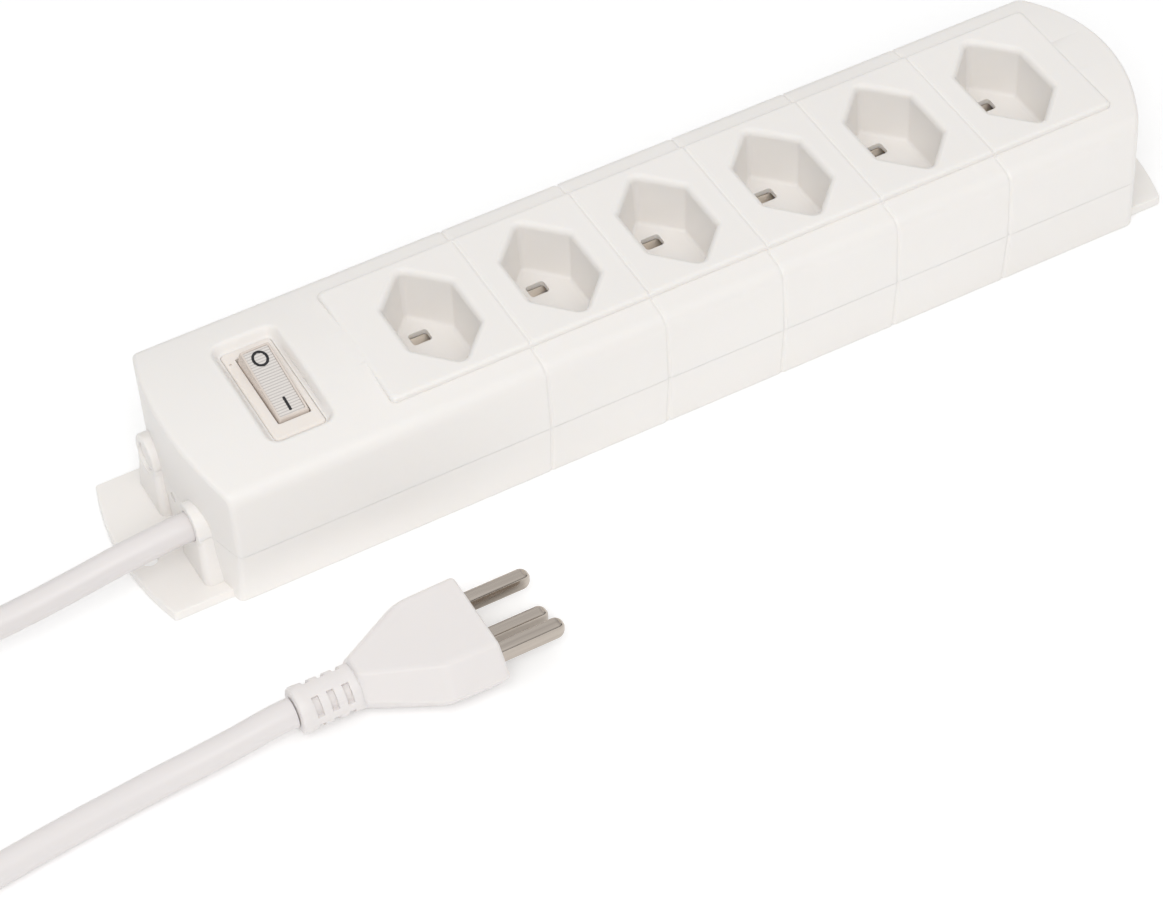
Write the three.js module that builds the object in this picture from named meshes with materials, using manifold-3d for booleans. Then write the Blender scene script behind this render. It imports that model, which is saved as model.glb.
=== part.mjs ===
// A six-way extension strip: hexagonal outlets with rectangular pin slots, an illuminated two-pole
// rocker switch, a mains cord wound for storage and its three-pin plug.
// Millimetres, +Z up. The origin is the middle of the underside, +X runs along the strip away from the
// cord, and the cord leaves the end face on the -Y side.
import * as THREE from "three";
import { mergeVertices } from "three/addons/utils/BufferGeometryUtils.js";
import Module from "manifold-3d";

const wasm = await Module();
wasm.setup();

// ---- Driving dimensions -------------------------------------------------------------------------------

const GAP = 0.3; // between pieces that touch or seat
const OVER = 1; // how far a cutting tool runs past the face it cuts

// Body shells
const SEAM_Z = 18.5; // where the cover meets the base
const HALF_WIDTH = 31.3; // at the seam
const HALF_WIDTH_FOOT = 28.8; // at the underside
const CORD_CORNER_X = -132.3;
const FAR_CORNER_X = 137.5;
const CORD_BULGE = 5; // how far each end face bows out
const FAR_BULGE = 9.6;
const CROWN_Z = 42.4;
const CROWN_R = 185; // of the top, across the strip
const SHOULDER_R = 4; // between the top and the side walls
const WALL = 2.2;
const FLOOR = 2.4;
const LIP = 1.2; // thickness of the base's rim inside the cover
const LIP_HEIGHT = 2;

// Raised panel with the outlets
const PANEL_X = [-82.4, 133.9];
const PANEL_HALF_WIDTH = 22.4;
const PANEL_Z = 42.6;
const OUTLET_COUNT = 6;
const PITCH = 35;
const FIRST_OUTLET_X = -60.5;
const OUTLETS_X = Array.from({ length: OUTLET_COUNT }, (_, i) => FIRST_OUTLET_X + i * PITCH);
const GROOVES_X = OUTLETS_X.slice(1).map((x) => x - PITCH / 2);
const GROOVE_WIDTH = 1.4;
const GROOVE_DEPTH = 0.6;

// Outlet wells: hexagons with their long axis across the strip
const WELL_TIP = 18.7;
const WELL_HALF_WIDTH = 10;
const WELL_SHOULDER = 8.35;
const WELL_FLOOR_Z = 26;
const WELL_RIM = 1.6; // width and height of the rim's chamfer
const WELL_WALL = 1.6;
const SLOT = [5.5, 4.5]; // along X and Y
const PIN_OFFSET = 9.5; // live and neutral from the middle
const EARTH_OFFSET = 5; // earth from the middle, towards the cord

// Mounting tabs
const TAB_REACH = 154.4;
const TAB_BULGE = 4;
const TAB_HALF_WIDTH = 26;
const TAB_THICKNESS = 3;
const TAB_SLOT = { x: 148.5, y: -1.8, width: 5, length: 12 };

// Cord outlets in the end face, one used and one blanked off
const COLLAR_Y = 14.1;
const COLLAR_R = 6.4;
const COLLAR_X = -139;
const CORD_R = 4;
const PEDESTAL_HALF_WIDTH = 8.6; // of the column under each collar, at the foot
const VENT = { r: 1.5, z: 14.5 };

// Fasteners
const COVER_SCREWS = [
  [-86, 24],
  [-86, -24],
  [132, 18],
  [132, -18],
];
const SCREW_R = 1.4;
const SCREW_HEAD_R = 2.9;
const PILLAR_R = 3.2;
const BOSS_HEIGHT = 6.5;
const CLAMP_X = -124;
const CLAMP_SPAN = 7.7; // from the cord to each clamp screw
const CLAMP_SCREWS_Y = [-COLLAR_Y - CLAMP_SPAN, -COLLAR_Y + CLAMP_SPAN];

// Switch
const SWITCH_X = -106.2;
const BEZEL = { halfX: 7.2, halfY: 17.7, top: 39.4, thickness: 1.8 };
const POCKET = { halfX: 7.9, halfY: 18.5, slope: 1.7 };
const SWITCH_BOX = { halfX: 6, halfY: 15, bottom: 22 };
const WINDOW = { halfX: 4.9, halfY: 13.6 };
const PIVOT_Z = 35.5;
const TILT = THREE.MathUtils.degToRad(7); // each way from level
const ROCKER = { halfX: 4.5, halfY: 12.7, top: 5.6, skirt: -0.5 };
const LENS = { halfX: 3.6, halfY: 11.9, thickness: 1 };
const SEESAW = { z: 26.5, halfY: 6.2, width: 3, thickness: 0.6, tilt: THREE.MathUtils.degToRad(6) };
const POLES = { live: -2.2, neutral: 2.2 }; // along X from the switch's middle
const TERMINAL = { thickness: 0.8, bottom: 12.5 };

// Busbars
const BAR = { width: 6, thickness: 0.8, overhang: 1 };
const LEAF = { width: 7.4, thickness: 0.6, gap: 0.8, rootInset: 0.2, bendZ: 21.4, lipReach: 2.4, lipZ: 24 };
const BAR_START_X = -80;
const LIVE_BAR_Z = 8;
const EARTH_BAR_Z = 5;

// Cord and plug
const CORD_REST_Z = 4.1;
const LEAD_R = 1.1;
const COIL = { x: -272, y: -39.5, inner: 30, outer: 59, bottom: 1.6, top: 17.4 };
const TIE = { width: 9, thickness: 1.2, clearance: 0.8 };
const PLUG = { x: -87.2, y: -74.4, z: 8, tip: 18.4, flat: 12.7, halfThickness: 7.8 };
const PLUG_TAPER = { straight: 16, length: 35, neck: 7.6 }; // neck is the half width at the strain relief
const RELIEF = { r: 6.3, length: 16.5, z: 7.2 };
const PIN = { width: 3.8, height: 4.8, length: 19, tip: 1.6 };

// The cord's free stretches, as points on its centre line.
const CORD_EXIT = [COLLAR_X - GAP, -COLLAR_Y, SEAM_Z];
const LEAD_ROUTE = [
  CORD_EXIT,
  [-142.5, -14.1, SEAM_Z],
  [-150, -14.1, 17.7],
  [-158, -14, 16.7],
  [-169.5, -14, 14.9],
  [-181, -14, 13.2],
  [-191.6, -14, 12.1],
  [-204, -14, 11.8],
  [-216, -13.4, 11.8],
];
const TAIL_ROUTE = [
  [-225, -80.9, CORD_REST_Z],
  [-220.2, -80.2, CORD_REST_Z],
  [-209, -78.7, CORD_REST_Z],
  [-198, -77.4, CORD_REST_Z],
  [-187, -76.3, CORD_REST_Z],
  [-176, -75.5, 4.4],
  [-165, -75.1, 5],
  [-153.5, -74.8, 6],
  [-146, -74.5, 6.9],
  [-142, PLUG.y, RELIEF.z],
  [PLUG.x - PLUG_TAPER.length - RELIEF.length - GAP, PLUG.y, RELIEF.z],
];

// ---- Materials ----------------------------------------------------------------------------------------

function material(color, roughness, metalness = 0) {
  return new THREE.MeshStandardMaterial({ color, roughness, metalness });
}

function clear(color, roughness, opacity) {
  return new THREE.MeshStandardMaterial({ color, roughness, transparent: true, opacity });
}

const WHITE_SHELL = () => material(0xf0ede8, 0.5);
const CREAM = () => material(0xf1e9dc, 0.4);
const CORD_WHITE = () => material(0xf1ebe8, 0.42);
const NICKEL = () => material(0xb9aca0, 0.28, 1);
const BRASS = () => material(0xc9a04e, 0.35, 1);
const COPPER = () => material(0xb87350, 0.35, 1);
const ZINC = () => material(0xb9bdc1, 0.4, 1);

// ---- Solids -------------------------------------------------------------------------------------------

// A closed three.js geometry as a solid that can be joined and cut.
function solid(geometry, matrix = new THREE.Matrix4()) {
  const plain = geometry.clone().applyMatrix4(matrix);
  plain.deleteAttribute("normal");
  plain.deleteAttribute("uv");
  const merged = mergeVertices(plain, 1e-4);
  return new wasm.Manifold(
    new wasm.Mesh({
      numProp: 3,
      vertProperties: merged.attributes.position.array,
      triVerts: new Uint32Array(merged.index.array),
    }),
  );
}

function geometryOf(body) {
  const { vertProperties, triVerts } = body.getMesh();
  const geometry = new THREE.BufferGeometry();
  geometry.setAttribute("position", new THREE.BufferAttribute(vertProperties, 3));
  geometry.setIndex(new THREE.BufferAttribute(triVerts, 1));
  const faceted = geometry.toNonIndexed();
  faceted.computeVertexNormals();
  return faceted;
}

function union(bodies) {
  return bodies.reduce((a, b) => a.add(b));
}

// One solid from a piece made at each of the places.
function each(places, make) {
  return union(places.map(make));
}

function outline(points) {
  return new THREE.Shape(points.map(([u, v]) => new THREE.Vector2(u, v)));
}

const X_AXIS = new THREE.Vector3(1, 0, 0);
const Y_AXIS = new THREE.Vector3(0, 1, 0);
const Z_AXIS = new THREE.Vector3(0, 0, 1);

// An outline given as (y, z), run from x0 to x1.
function alongX(shape, x0, x1) {
  const geometry = new THREE.ExtrudeGeometry(shape, { depth: x1 - x0, bevelEnabled: false });
  const turn = new THREE.Matrix4().makeBasis(Y_AXIS, Z_AXIS, X_AXIS);
  return solid(geometry, turn.setPosition(x0, 0, 0));
}

// An outline given as (x, z), run from y0 to y1.
function alongY(shape, y0, y1) {
  const geometry = new THREE.ExtrudeGeometry(shape, { depth: y1 - y0, bevelEnabled: false });
  const turn = new THREE.Matrix4().makeBasis(X_AXIS, Z_AXIS, Y_AXIS.clone().negate());
  return solid(geometry, turn.setPosition(0, y1, 0));
}

// An outline given as (x, y), run from z0 to z1.
function alongZ(shape, z0, z1) {
  const geometry = new THREE.ExtrudeGeometry(shape, { depth: z1 - z0, bevelEnabled: false });
  return solid(geometry, new THREE.Matrix4().makeTranslation(0, 0, z0));
}

function box([x0, x1], [y0, y1], [z0, z1]) {
  const geometry = new THREE.BoxGeometry(x1 - x0, y1 - y0, z1 - z0);
  const middle = new THREE.Matrix4().makeTranslation((x0 + x1) / 2, (y0 + y1) / 2, (z0 + z1) / 2);
  return solid(geometry, middle);
}

function around(middle, half) {
  return [middle - half, middle + half];
}

function rodX(r, [x0, x1], y, z, sides = 20) {
  const geometry = new THREE.CylinderGeometry(r, r, x1 - x0, sides).rotateZ(-Math.PI / 2);
  return solid(geometry, new THREE.Matrix4().makeTranslation((x0 + x1) / 2, y, z));
}

function rodY(r, [y0, y1], x, z, sides = 12) {
  const geometry = new THREE.CylinderGeometry(r, r, y1 - y0, sides);
  return solid(geometry, new THREE.Matrix4().makeTranslation(x, (y0 + y1) / 2, z));
}

function rodZ(r, x, y, [z0, z1], sides = 16) {
  const geometry = new THREE.CylinderGeometry(r, r, z1 - z0, sides).rotateX(Math.PI / 2);
  return solid(geometry, new THREE.Matrix4().makeTranslation(x, y, (z0 + z1) / 2));
}

function arc(cx, cy, r, from, to, steps) {
  const points = [];
  for (let i = 0; i <= steps; i++) {
    const a = from + ((to - from) * i) / steps;
    points.push([cx + r * Math.cos(a), cy + r * Math.sin(a)]);
  }
  return points;
}

// A round tube along a smooth curve through the points.
function tube(points, r, sides, steps) {
  const places = points.map((p) => new THREE.Vector3(...p));
  const curve = new THREE.CatmullRomCurve3(places, false, "centripetal");
  const section = outline(arc(0, 0, r, 0, 2 * Math.PI, sides).slice(0, -1));
  return new THREE.ExtrudeGeometry(section, { extrudePath: curve, steps });
}

function mesh(name, body, finish) {
  const geometry = body.isBufferGeometry ? body : geometryOf(body);
  const made = new THREE.Mesh(geometry, finish);
  made.name = name;
  return made;
}

// ---- Body outlines ------------------------------------------------------------------------------------

// One bowed end face in plan, drawn in by inset. toward is -1 for the cord end and 1 for the far end.
function endFace(toward, inset) {
  const [corner, bulge] = toward < 0 ? [CORD_CORNER_X, CORD_BULGE] : [FAR_CORNER_X, FAR_BULGE];
  const r = (HALF_WIDTH ** 2 + bulge ** 2) / (2 * bulge);
  const centre = corner + toward * (bulge - r);
  const half = Math.asin((HALF_WIDTH - inset) / (r - inset));
  const middle = toward < 0 ? Math.PI : 0;
  return arc(centre, 0, r - inset, middle - half, middle + half, 10);
}

function plan(inset) {
  return outline([...endFace(1, inset), ...endFace(-1, inset)]);
}

// The cover's section: side walls, rounded shoulders and the shallow crown.
function coverSection(inset, bottom) {
  const wall = HALF_WIDTH - inset;
  const crownCentre = CROWN_Z - CROWN_R;
  const shoulderY = HALF_WIDTH - SHOULDER_R;
  const shoulderZ = crownCentre + Math.sqrt((CROWN_R - SHOULDER_R) ** 2 - shoulderY ** 2);
  const lean = Math.atan2(shoulderZ - crownCentre, shoulderY);
  const right = arc(shoulderY, shoulderZ, SHOULDER_R - inset, 0, lean, 3);
  const crown = arc(0, crownCentre, CROWN_R - inset, lean, Math.PI - lean, 8).slice(1, -1);
  const left = right.map(([y, z]) => [-y, z]).reverse();
  return outline([[-wall, bottom], [wall, bottom], ...right, ...crown, ...left]);
}

// The base's section, whose sides lean in towards the underside.
function baseSection(inset, bottom, top) {
  const lean = (HALF_WIDTH - HALF_WIDTH_FOOT) / SEAM_Z;
  const at = (z) => HALF_WIDTH_FOOT + lean * z - inset;
  return outline([
    [-at(bottom), bottom],
    [at(bottom), bottom],
    [at(top), top],
    [-at(top), top],
  ]);
}

const BODY_X = [CORD_CORNER_X - 20, FAR_CORNER_X + 20];

function wellOutline(x, grow) {
  // Each side moves out by grow, so the tips move out further than the flats.
  const slant = Math.atan2(WELL_TIP - WELL_SHOULDER, WELL_HALF_WIDTH);
  const tip = WELL_TIP + grow / Math.cos(slant);
  const half = WELL_HALF_WIDTH + grow;
  const shoulder = tip - half * Math.tan(slant);
  return outline([
    [x, tip],
    [x - half, shoulder],
    [x - half, -shoulder],
    [x, -tip],
    [x + half, -shoulder],
    [x + half, shoulder],
  ]);
}

function pinPlaces(x) {
  return [
    [x, PIN_OFFSET],
    [x, -PIN_OFFSET],
    [x - EARTH_OFFSET, 0],
  ];
}

// A shallow channel round the outside at x, between two outlets.
function groove(x, inner) {
  const slab = box(around(x, GROOVE_WIDTH / 2), [-50, 50], [-20, 60]);
  return slab.subtract(inner);
}

// ---- Cover --------------------------------------------------------------------------------------------

function wellCut(x) {
  // The extrusion's bevel widens upwards, which leaves a chamfer round the rim.
  const geometry = new THREE.ExtrudeGeometry(wellOutline(x, 0), {
    depth: 4,
    bevelThickness: WELL_RIM,
    bevelSize: WELL_RIM,
    bevelSegments: 1,
  });
  const rim = solid(geometry, new THREE.Matrix4().makeTranslation(0, 0, PANEL_Z));
  return alongZ(wellOutline(x, 0), WELL_FLOOR_Z, PANEL_Z).add(rim);
}

function slotCut([x, y]) {
  const through = [WELL_FLOOR_Z - WELL_WALL - OVER, WELL_FLOOR_Z + OVER];
  return box(around(x, SLOT[0] / 2), around(y, SLOT[1] / 2), through);
}

function switchPocket() {
  const { halfX, halfY, slope } = POCKET;
  const depth = CROWN_Z - (BEZEL.top - BEZEL.thickness - GAP);
  const rectangle = outline([
    [SWITCH_X - halfX, -halfY],
    [SWITCH_X + halfX, -halfY],
    [SWITCH_X + halfX, halfY],
    [SWITCH_X - halfX, halfY],
  ]);
  const geometry = new THREE.ExtrudeGeometry(rectangle, {
    depth: 4,
    bevelThickness: depth,
    bevelSize: slope,
    bevelSegments: 1,
  });
  const sides = solid(geometry, new THREE.Matrix4().makeTranslation(0, 0, CROWN_Z));
  const window = box(
    around(SWITCH_X, SWITCH_BOX.halfX + GAP),
    around(0, SWITCH_BOX.halfY + GAP),
    [SWITCH_BOX.bottom, CROWN_Z],
  );
  return sides.add(window);
}

function collar(y, r) {
  return rodX(r, [COLLAR_X, CORD_CORNER_X + WALL], y, SEAM_Z, 24);
}

function collarBore(y) {
  return rodX(CORD_R + GAP, [COLLAR_X - OVER, CORD_CORNER_X + WALL + OVER], y, SEAM_Z, 24);
}

function topCover() {
  const seam = SEAM_Z + GAP / 2;
  const block = alongX(coverSection(0, 0), ...BODY_X).intersect(alongZ(plan(0), 0, 60));
  const panel = box(PANEL_X, around(0, PANEL_HALF_WIDTH), [CROWN_Z - 4, PANEL_Z]);
  const skin = block.add(panel).subtract(box(BODY_X, [-50, 50], [-OVER, seam]));
  const hollow = alongX(coverSection(WALL, -OVER), ...BODY_X).intersect(alongZ(plan(WALL), -OVER, 60));
  const cups = each(OUTLETS_X, (x) => alongZ(wellOutline(x, WELL_WALL), WELL_FLOOR_Z - WELL_WALL, CROWN_Z));
  const pillars = each(COVER_SCREWS, ([x, y]) => rodZ(PILLAR_R, x, y, [BOSS_HEIGHT + GAP, CROWN_Z]));
  const seat = box(
    around(SWITCH_X, POCKET.halfX + POCKET.slope + WALL),
    around(0, POCKET.halfY + POCKET.slope + WALL),
    [BEZEL.top - BEZEL.thickness - GAP - WALL, CROWN_Z],
  );
  const inside = cups.add(pillars).add(seat).intersect(block);
  const collars = collar(-COLLAR_Y, COLLAR_R)
    .add(collar(COLLAR_Y, COLLAR_R))
    .subtract(box([-200, 0], [-50, 50], [0, seam]));
  const pilots = each(COVER_SCREWS, ([x, y]) => rodZ(SCREW_R + GAP, x, y, [0, SEAM_Z + 4]));
  const wells = each(OUTLETS_X, wellCut);
  const slots = each(OUTLETS_X.flatMap(pinPlaces), slotCut);
  const innerSkin = alongX(coverSection(GROOVE_DEPTH, -20), ...BODY_X).add(
    box(PANEL_X, around(0, PANEL_HALF_WIDTH - GROOVE_DEPTH), [0, PANEL_Z - GROOVE_DEPTH]),
  );
  return skin
    .subtract(hollow)
    .add(inside)
    .add(collars)
    .subtract(wells)
    .subtract(slots)
    .subtract(pilots)
    .subtract(switchPocket())
    .subtract(collarBore(-COLLAR_Y))
    .subtract(collarBore(COLLAR_Y))
    .subtract(each(GROOVES_X, (x) => groove(x, innerSkin)));
}

// ---- Base ---------------------------------------------------------------------------------------------

function tab(toward) {
  const r = (TAB_HALF_WIDTH ** 2 + TAB_BULGE ** 2) / (2 * TAB_BULGE);
  const half = Math.asin(TAB_HALF_WIDTH / r);
  const edge = arc(TAB_REACH - r, 0, r, -half, half, 8).map(([x, y]) => [toward * x, toward * y]);
  const root = toward * 120;
  const shape = outline([...edge, [root, toward * TAB_HALF_WIDTH], [root, -toward * TAB_HALF_WIDTH]]);
  const { x, y, width, length } = TAB_SLOT;
  const run = (length - width) / 2;
  const ends = [
    ...arc(toward * x, y + run, width / 2, 0, Math.PI, 6),
    ...arc(toward * x, y - run, width / 2, Math.PI, 2 * Math.PI, 6),
  ];
  return alongZ(shape, 0, TAB_THICKNESS).subtract(alongZ(outline(ends), -OVER, TAB_THICKNESS + OVER));
}

function pedestal(y) {
  const column = outline([
    [y - PEDESTAL_HALF_WIDTH, 0],
    [y + PEDESTAL_HALF_WIDTH, 0],
    [y + COLLAR_R, SEAM_Z],
    [y - COLLAR_R, SEAM_Z],
  ]);
  return alongX(column, COLLAR_X, CORD_CORNER_X + WALL).add(collar(y, COLLAR_R));
}

function clampPosts() {
  const top = SEAM_Z + CORD_R;
  const posts = each(CLAMP_SCREWS_Y, (y) => rodZ(PILLAR_R, CLAMP_X, y, [0, top]));
  const saddle = box(around(CLAMP_X, 2), around(-COLLAR_Y, CORD_R), [0, SEAM_Z - CORD_R - GAP]);
  return posts.add(saddle);
}

function base() {
  const seam = SEAM_Z - GAP / 2;
  const block = alongX(baseSection(0, 0, SEAM_Z), ...BODY_X).intersect(alongZ(plan(0), 0, SEAM_Z));
  const hollow = alongX(baseSection(WALL, FLOOR, 40), ...BODY_X).intersect(alongZ(plan(WALL), FLOOR, 40));
  const lip = alongZ(plan(WALL + GAP), seam - LIP_HEIGHT, seam + LIP_HEIGHT)
    .add(alongZ(plan(WALL / 2), seam - LIP_HEIGHT, seam))
    .subtract(alongZ(plan(WALL + GAP + LIP), 0, 60))
    .subtract(collar(-COLLAR_Y, COLLAR_R + GAP))
    .subtract(collar(COLLAR_Y, COLLAR_R + GAP))
    .subtract(each(COVER_SCREWS, ([x, y]) => rodZ(PILLAR_R + GAP, x, y, [0, 60])));
  const bosses = each(COVER_SCREWS, ([x, y]) => rodZ(PILLAR_R + 1, x, y, [0, BOSS_HEIGHT]));
  const railX = [BAR_START_X, OUTLETS_X.at(-1)];
  const rails = union([
    box(railX, around(PIN_OFFSET, 1.2), [0, LIVE_BAR_Z - GAP]),
    box(railX, around(-PIN_OFFSET, 1.2), [0, LIVE_BAR_Z - GAP]),
    box(railX, around(0, 1.2), [0, EARTH_BAR_Z - GAP]),
  ]);
  const inside = union([bosses, rails, clampPosts()]).intersect(alongZ(plan(WALL / 2), 0, 60));
  const heads = each(COVER_SCREWS, ([x, y]) => rodZ(SCREW_HEAD_R + GAP, x, y, [-OVER, 3.4]));
  const shanks = each(COVER_SCREWS, ([x, y]) => rodZ(SCREW_R + GAP, x, y, [0, BOSS_HEIGHT + OVER]));
  const clampPilots = each(CLAMP_SCREWS_Y, (y) => rodZ(SCREW_R + GAP, CLAMP_X, y, [10, 30]));
  const innerSkin = alongX(baseSection(GROOVE_DEPTH, -20, 40), ...BODY_X);
  const vent = rodX(VENT.r, [COLLAR_X - OVER, CORD_CORNER_X + WALL], 0, VENT.z, 12);
  return block
    .subtract(hollow)
    .add(pedestal(-COLLAR_Y))
    .add(pedestal(COLLAR_Y))
    .subtract(box([-200, 200], [-50, 50], [seam, 60]))
    .add(tab(-1))
    .add(tab(1))
    .add(lip)
    .add(inside)
    .subtract(collarBore(-COLLAR_Y))
    .subtract(collarBore(COLLAR_Y))
    .subtract(vent)
    .subtract(heads)
    .subtract(shanks)
    .subtract(clampPilots)
    .subtract(each(GROOVES_X, (x) => groove(x, innerSkin)));
}

// ---- Fasteners and the cord's clamp -------------------------------------------------------------------

// A pan-head screw with its head at the origin's side and its shank along +Z.
function screw(length) {
  const head = rodZ(SCREW_HEAD_R, 0, 0, [0, 2.2]);
  const recess = union([
    box(around(0, 0.4), around(0, 1.7), [-OVER, 1]),
    box(around(0, 1.7), around(0, 0.4), [-OVER, 1]),
  ]);
  return head.add(rodZ(SCREW_R, 0, 0, [0, length], 12)).subtract(recess);
}

function fasteners() {
  const group = new THREE.Group();
  COVER_SCREWS.forEach(([x, y], i) => {
    const made = mesh("cover_screw_" + (i + 1), screw(18), ZINC());
    made.position.set(x, y, 0.9);
    group.add(made);
  });
  const clampTop = SEAM_Z + CORD_R + GAP + 3;
  CLAMP_SCREWS_Y.forEach((y, i) => {
    const made = mesh("clamp_screw_" + (i + 1), screw(12), ZINC());
    made.position.set(CLAMP_X, y, clampTop + GAP + 2.2);
    made.rotation.x = Math.PI;
    group.add(made);
  });
  const bar = box(around(CLAMP_X, 3.2), around(-COLLAR_Y, CLAMP_SPAN + 3.2), [clampTop - 3, clampTop]);
  const holes = each(CLAMP_SCREWS_Y, (y) => rodZ(SCREW_R + GAP, CLAMP_X, y, [0, 60]));
  group.add(mesh("cord_clamp_bar", bar.subtract(holes), CREAM()));
  const blank = rodX(CORD_R, [COLLAR_X + 0.6, COLLAR_X + 3], COLLAR_Y, SEAM_Z, 24);
  group.add(mesh("spare_outlet_blank", blank, WHITE_SHELL()));
  return group;
}

// ---- Switch, in a group whose origin is on its centre line at the underside ---------------------------

function switchHousing() {
  const { halfX, halfY, top, thickness } = BEZEL;
  const flange = box(around(0, halfX), around(0, halfY), [top - thickness, top]);
  const { halfX: canX, halfY: canY, bottom } = SWITCH_BOX;
  const can = box(around(0, canX), around(0, canY), [bottom, top - thickness]);
  const well = box(around(0, WINDOW.halfX), around(0, WINDOW.halfY), [bottom + 1.4, top + OVER]);
  const pivots = rodX(1.3, around(0, canX + OVER), 0, PIVOT_Z, 12);
  const slits = each(Object.values(POLES), (x) =>
    each([0, SEESAW.halfY - 1], (y) =>
      box(around(x, SEESAW.width / 2 + GAP), around(y, TERMINAL.thickness / 2 + GAP), [0, 30]),
    ),
  );
  return flange.add(can).subtract(well).subtract(pivots).subtract(slits);
}

// The rocker's shell in its own frame, with the pivot at the origin and the top level.
function rockerShell() {
  const { halfX, halfY, top, skirt } = ROCKER;
  const ceiling = top - LENS.thickness - GAP - 1.1;
  const block = box(around(0, halfX), around(0, halfY), [skirt, top]);
  const seat = box(
    around(0, LENS.halfX + GAP),
    around(0, LENS.halfY + GAP),
    [top - LENS.thickness - GAP, top + OVER],
  );
  const bays = each([-6.8, 6.8], (y) => box(around(0, halfX - 1), around(y, 4.8), [skirt - OVER, ceiling]));
  const stemEnd = SEESAW.z + SEESAW.thickness / 2 + 0.5 - PIVOT_Z;
  const stems = each(Object.values(POLES), (x) => box(around(x, 1), around(0, 1), [stemEnd, 0]));
  const trunnions = rodX(1, around(0, SWITCH_BOX.halfX - GAP), 0, 0, 12);
  return block.subtract(seat).subtract(bays).add(stems).add(trunnions);
}

function rockerLens() {
  const top = ROCKER.top;
  return box(around(0, LENS.halfX), around(0, LENS.halfY), [top - LENS.thickness, top]);
}

function switchGroup() {
  const group = new THREE.Group();
  group.position.x = SWITCH_X;
  group.add(mesh("switch_housing", switchHousing(), CREAM()));

  const rocker = new THREE.Group();
  rocker.position.z = PIVOT_Z;
  rocker.rotation.x = TILT;
  rocker.add(mesh("switch_rocker", rockerShell(), clear(0xcec4ba, 0.25, 0.8)));
  rocker.add(mesh("switch_lens", rockerLens(), clear(0xe6e2e2, 0.12, 0.5)));
  group.add(rocker);

  const lamp = rodY(1.3, [-10, -3], 0, 0, 10);
  const lampMesh = mesh("neon_lamp", lamp, clear(0xf2c9a0, 0.1, 0.6));
  lampMesh.position.z = PIVOT_Z - 0.2;
  group.add(lampMesh);
  const bracketTop = PIVOT_Z - 0.2 - 1.3 - GAP;
  const bracket = box(around(0, 0.4), around(-6.5, 2), [SWITCH_BOX.bottom + 1.4 + GAP, bracketTop]);
  group.add(mesh("lamp_bracket", bracket, BRASS()));

  for (const [pole, x] of Object.entries(POLES)) {
    const strip = box(
      around(0, SEESAW.width / 2),
      around(0, SEESAW.halfY),
      around(0, SEESAW.thickness / 2),
    );
    const seesaw = mesh("contact_bridge_" + pole, strip, COPPER());
    seesaw.position.set(x, 0, SEESAW.z);
    seesaw.rotation.x = -SEESAW.tilt;
    group.add(seesaw);
    const ends = { in: [0, SEESAW.z - 0.7], out: [SEESAW.halfY - 1, SEESAW.z - 1.5] };
    for (const [end, [y, top]] of Object.entries(ends)) {
      const across = around(y, TERMINAL.thickness / 2);
      const blade = box(around(x, SEESAW.width / 2), across, [TERMINAL.bottom, top]);
      group.add(mesh(`switch_terminal_${pole}_${end}`, blade, BRASS()));
    }
  }
  return group;
}

// ---- Busbars and leads --------------------------------------------------------------------------------

// One spring leaf on the side of a contact that side points to. Its lip opens outwards just under the slot.
function leaf(x, y, z, side) {
  const inner = LEAF.gap / 2;
  const outer = inner + LEAF.thickness;
  const section = [
    [inner, z],
    [outer, z],
    [outer, LEAF.bendZ],
    [LEAF.lipReach + LEAF.thickness, LEAF.lipZ],
    [LEAF.lipReach, LEAF.lipZ],
    [inner, LEAF.bendZ],
  ];
  const shape = outline(section.map(([across, height]) => [y + side * across, height]));
  return alongX(shape, x - LEAF.width / 2, x + LEAF.width / 2);
}

// A flat bar with a pair of spring leaves standing up under each outlet's slot, moved along X by shift.
function busbar(y, z, shift) {
  const last = OUTLETS_X.at(-1) + shift + LEAF.width / 2 + BAR.overhang;
  const strip = box([BAR_START_X, last], around(y, BAR.width / 2), [z, z + BAR.thickness]);
  const root = z + LEAF.rootInset;
  const leaves = each(OUTLETS_X, (x) => each([-1, 1], (side) => leaf(x + shift, y, root, side)));
  return strip.add(leaves);
}

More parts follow.
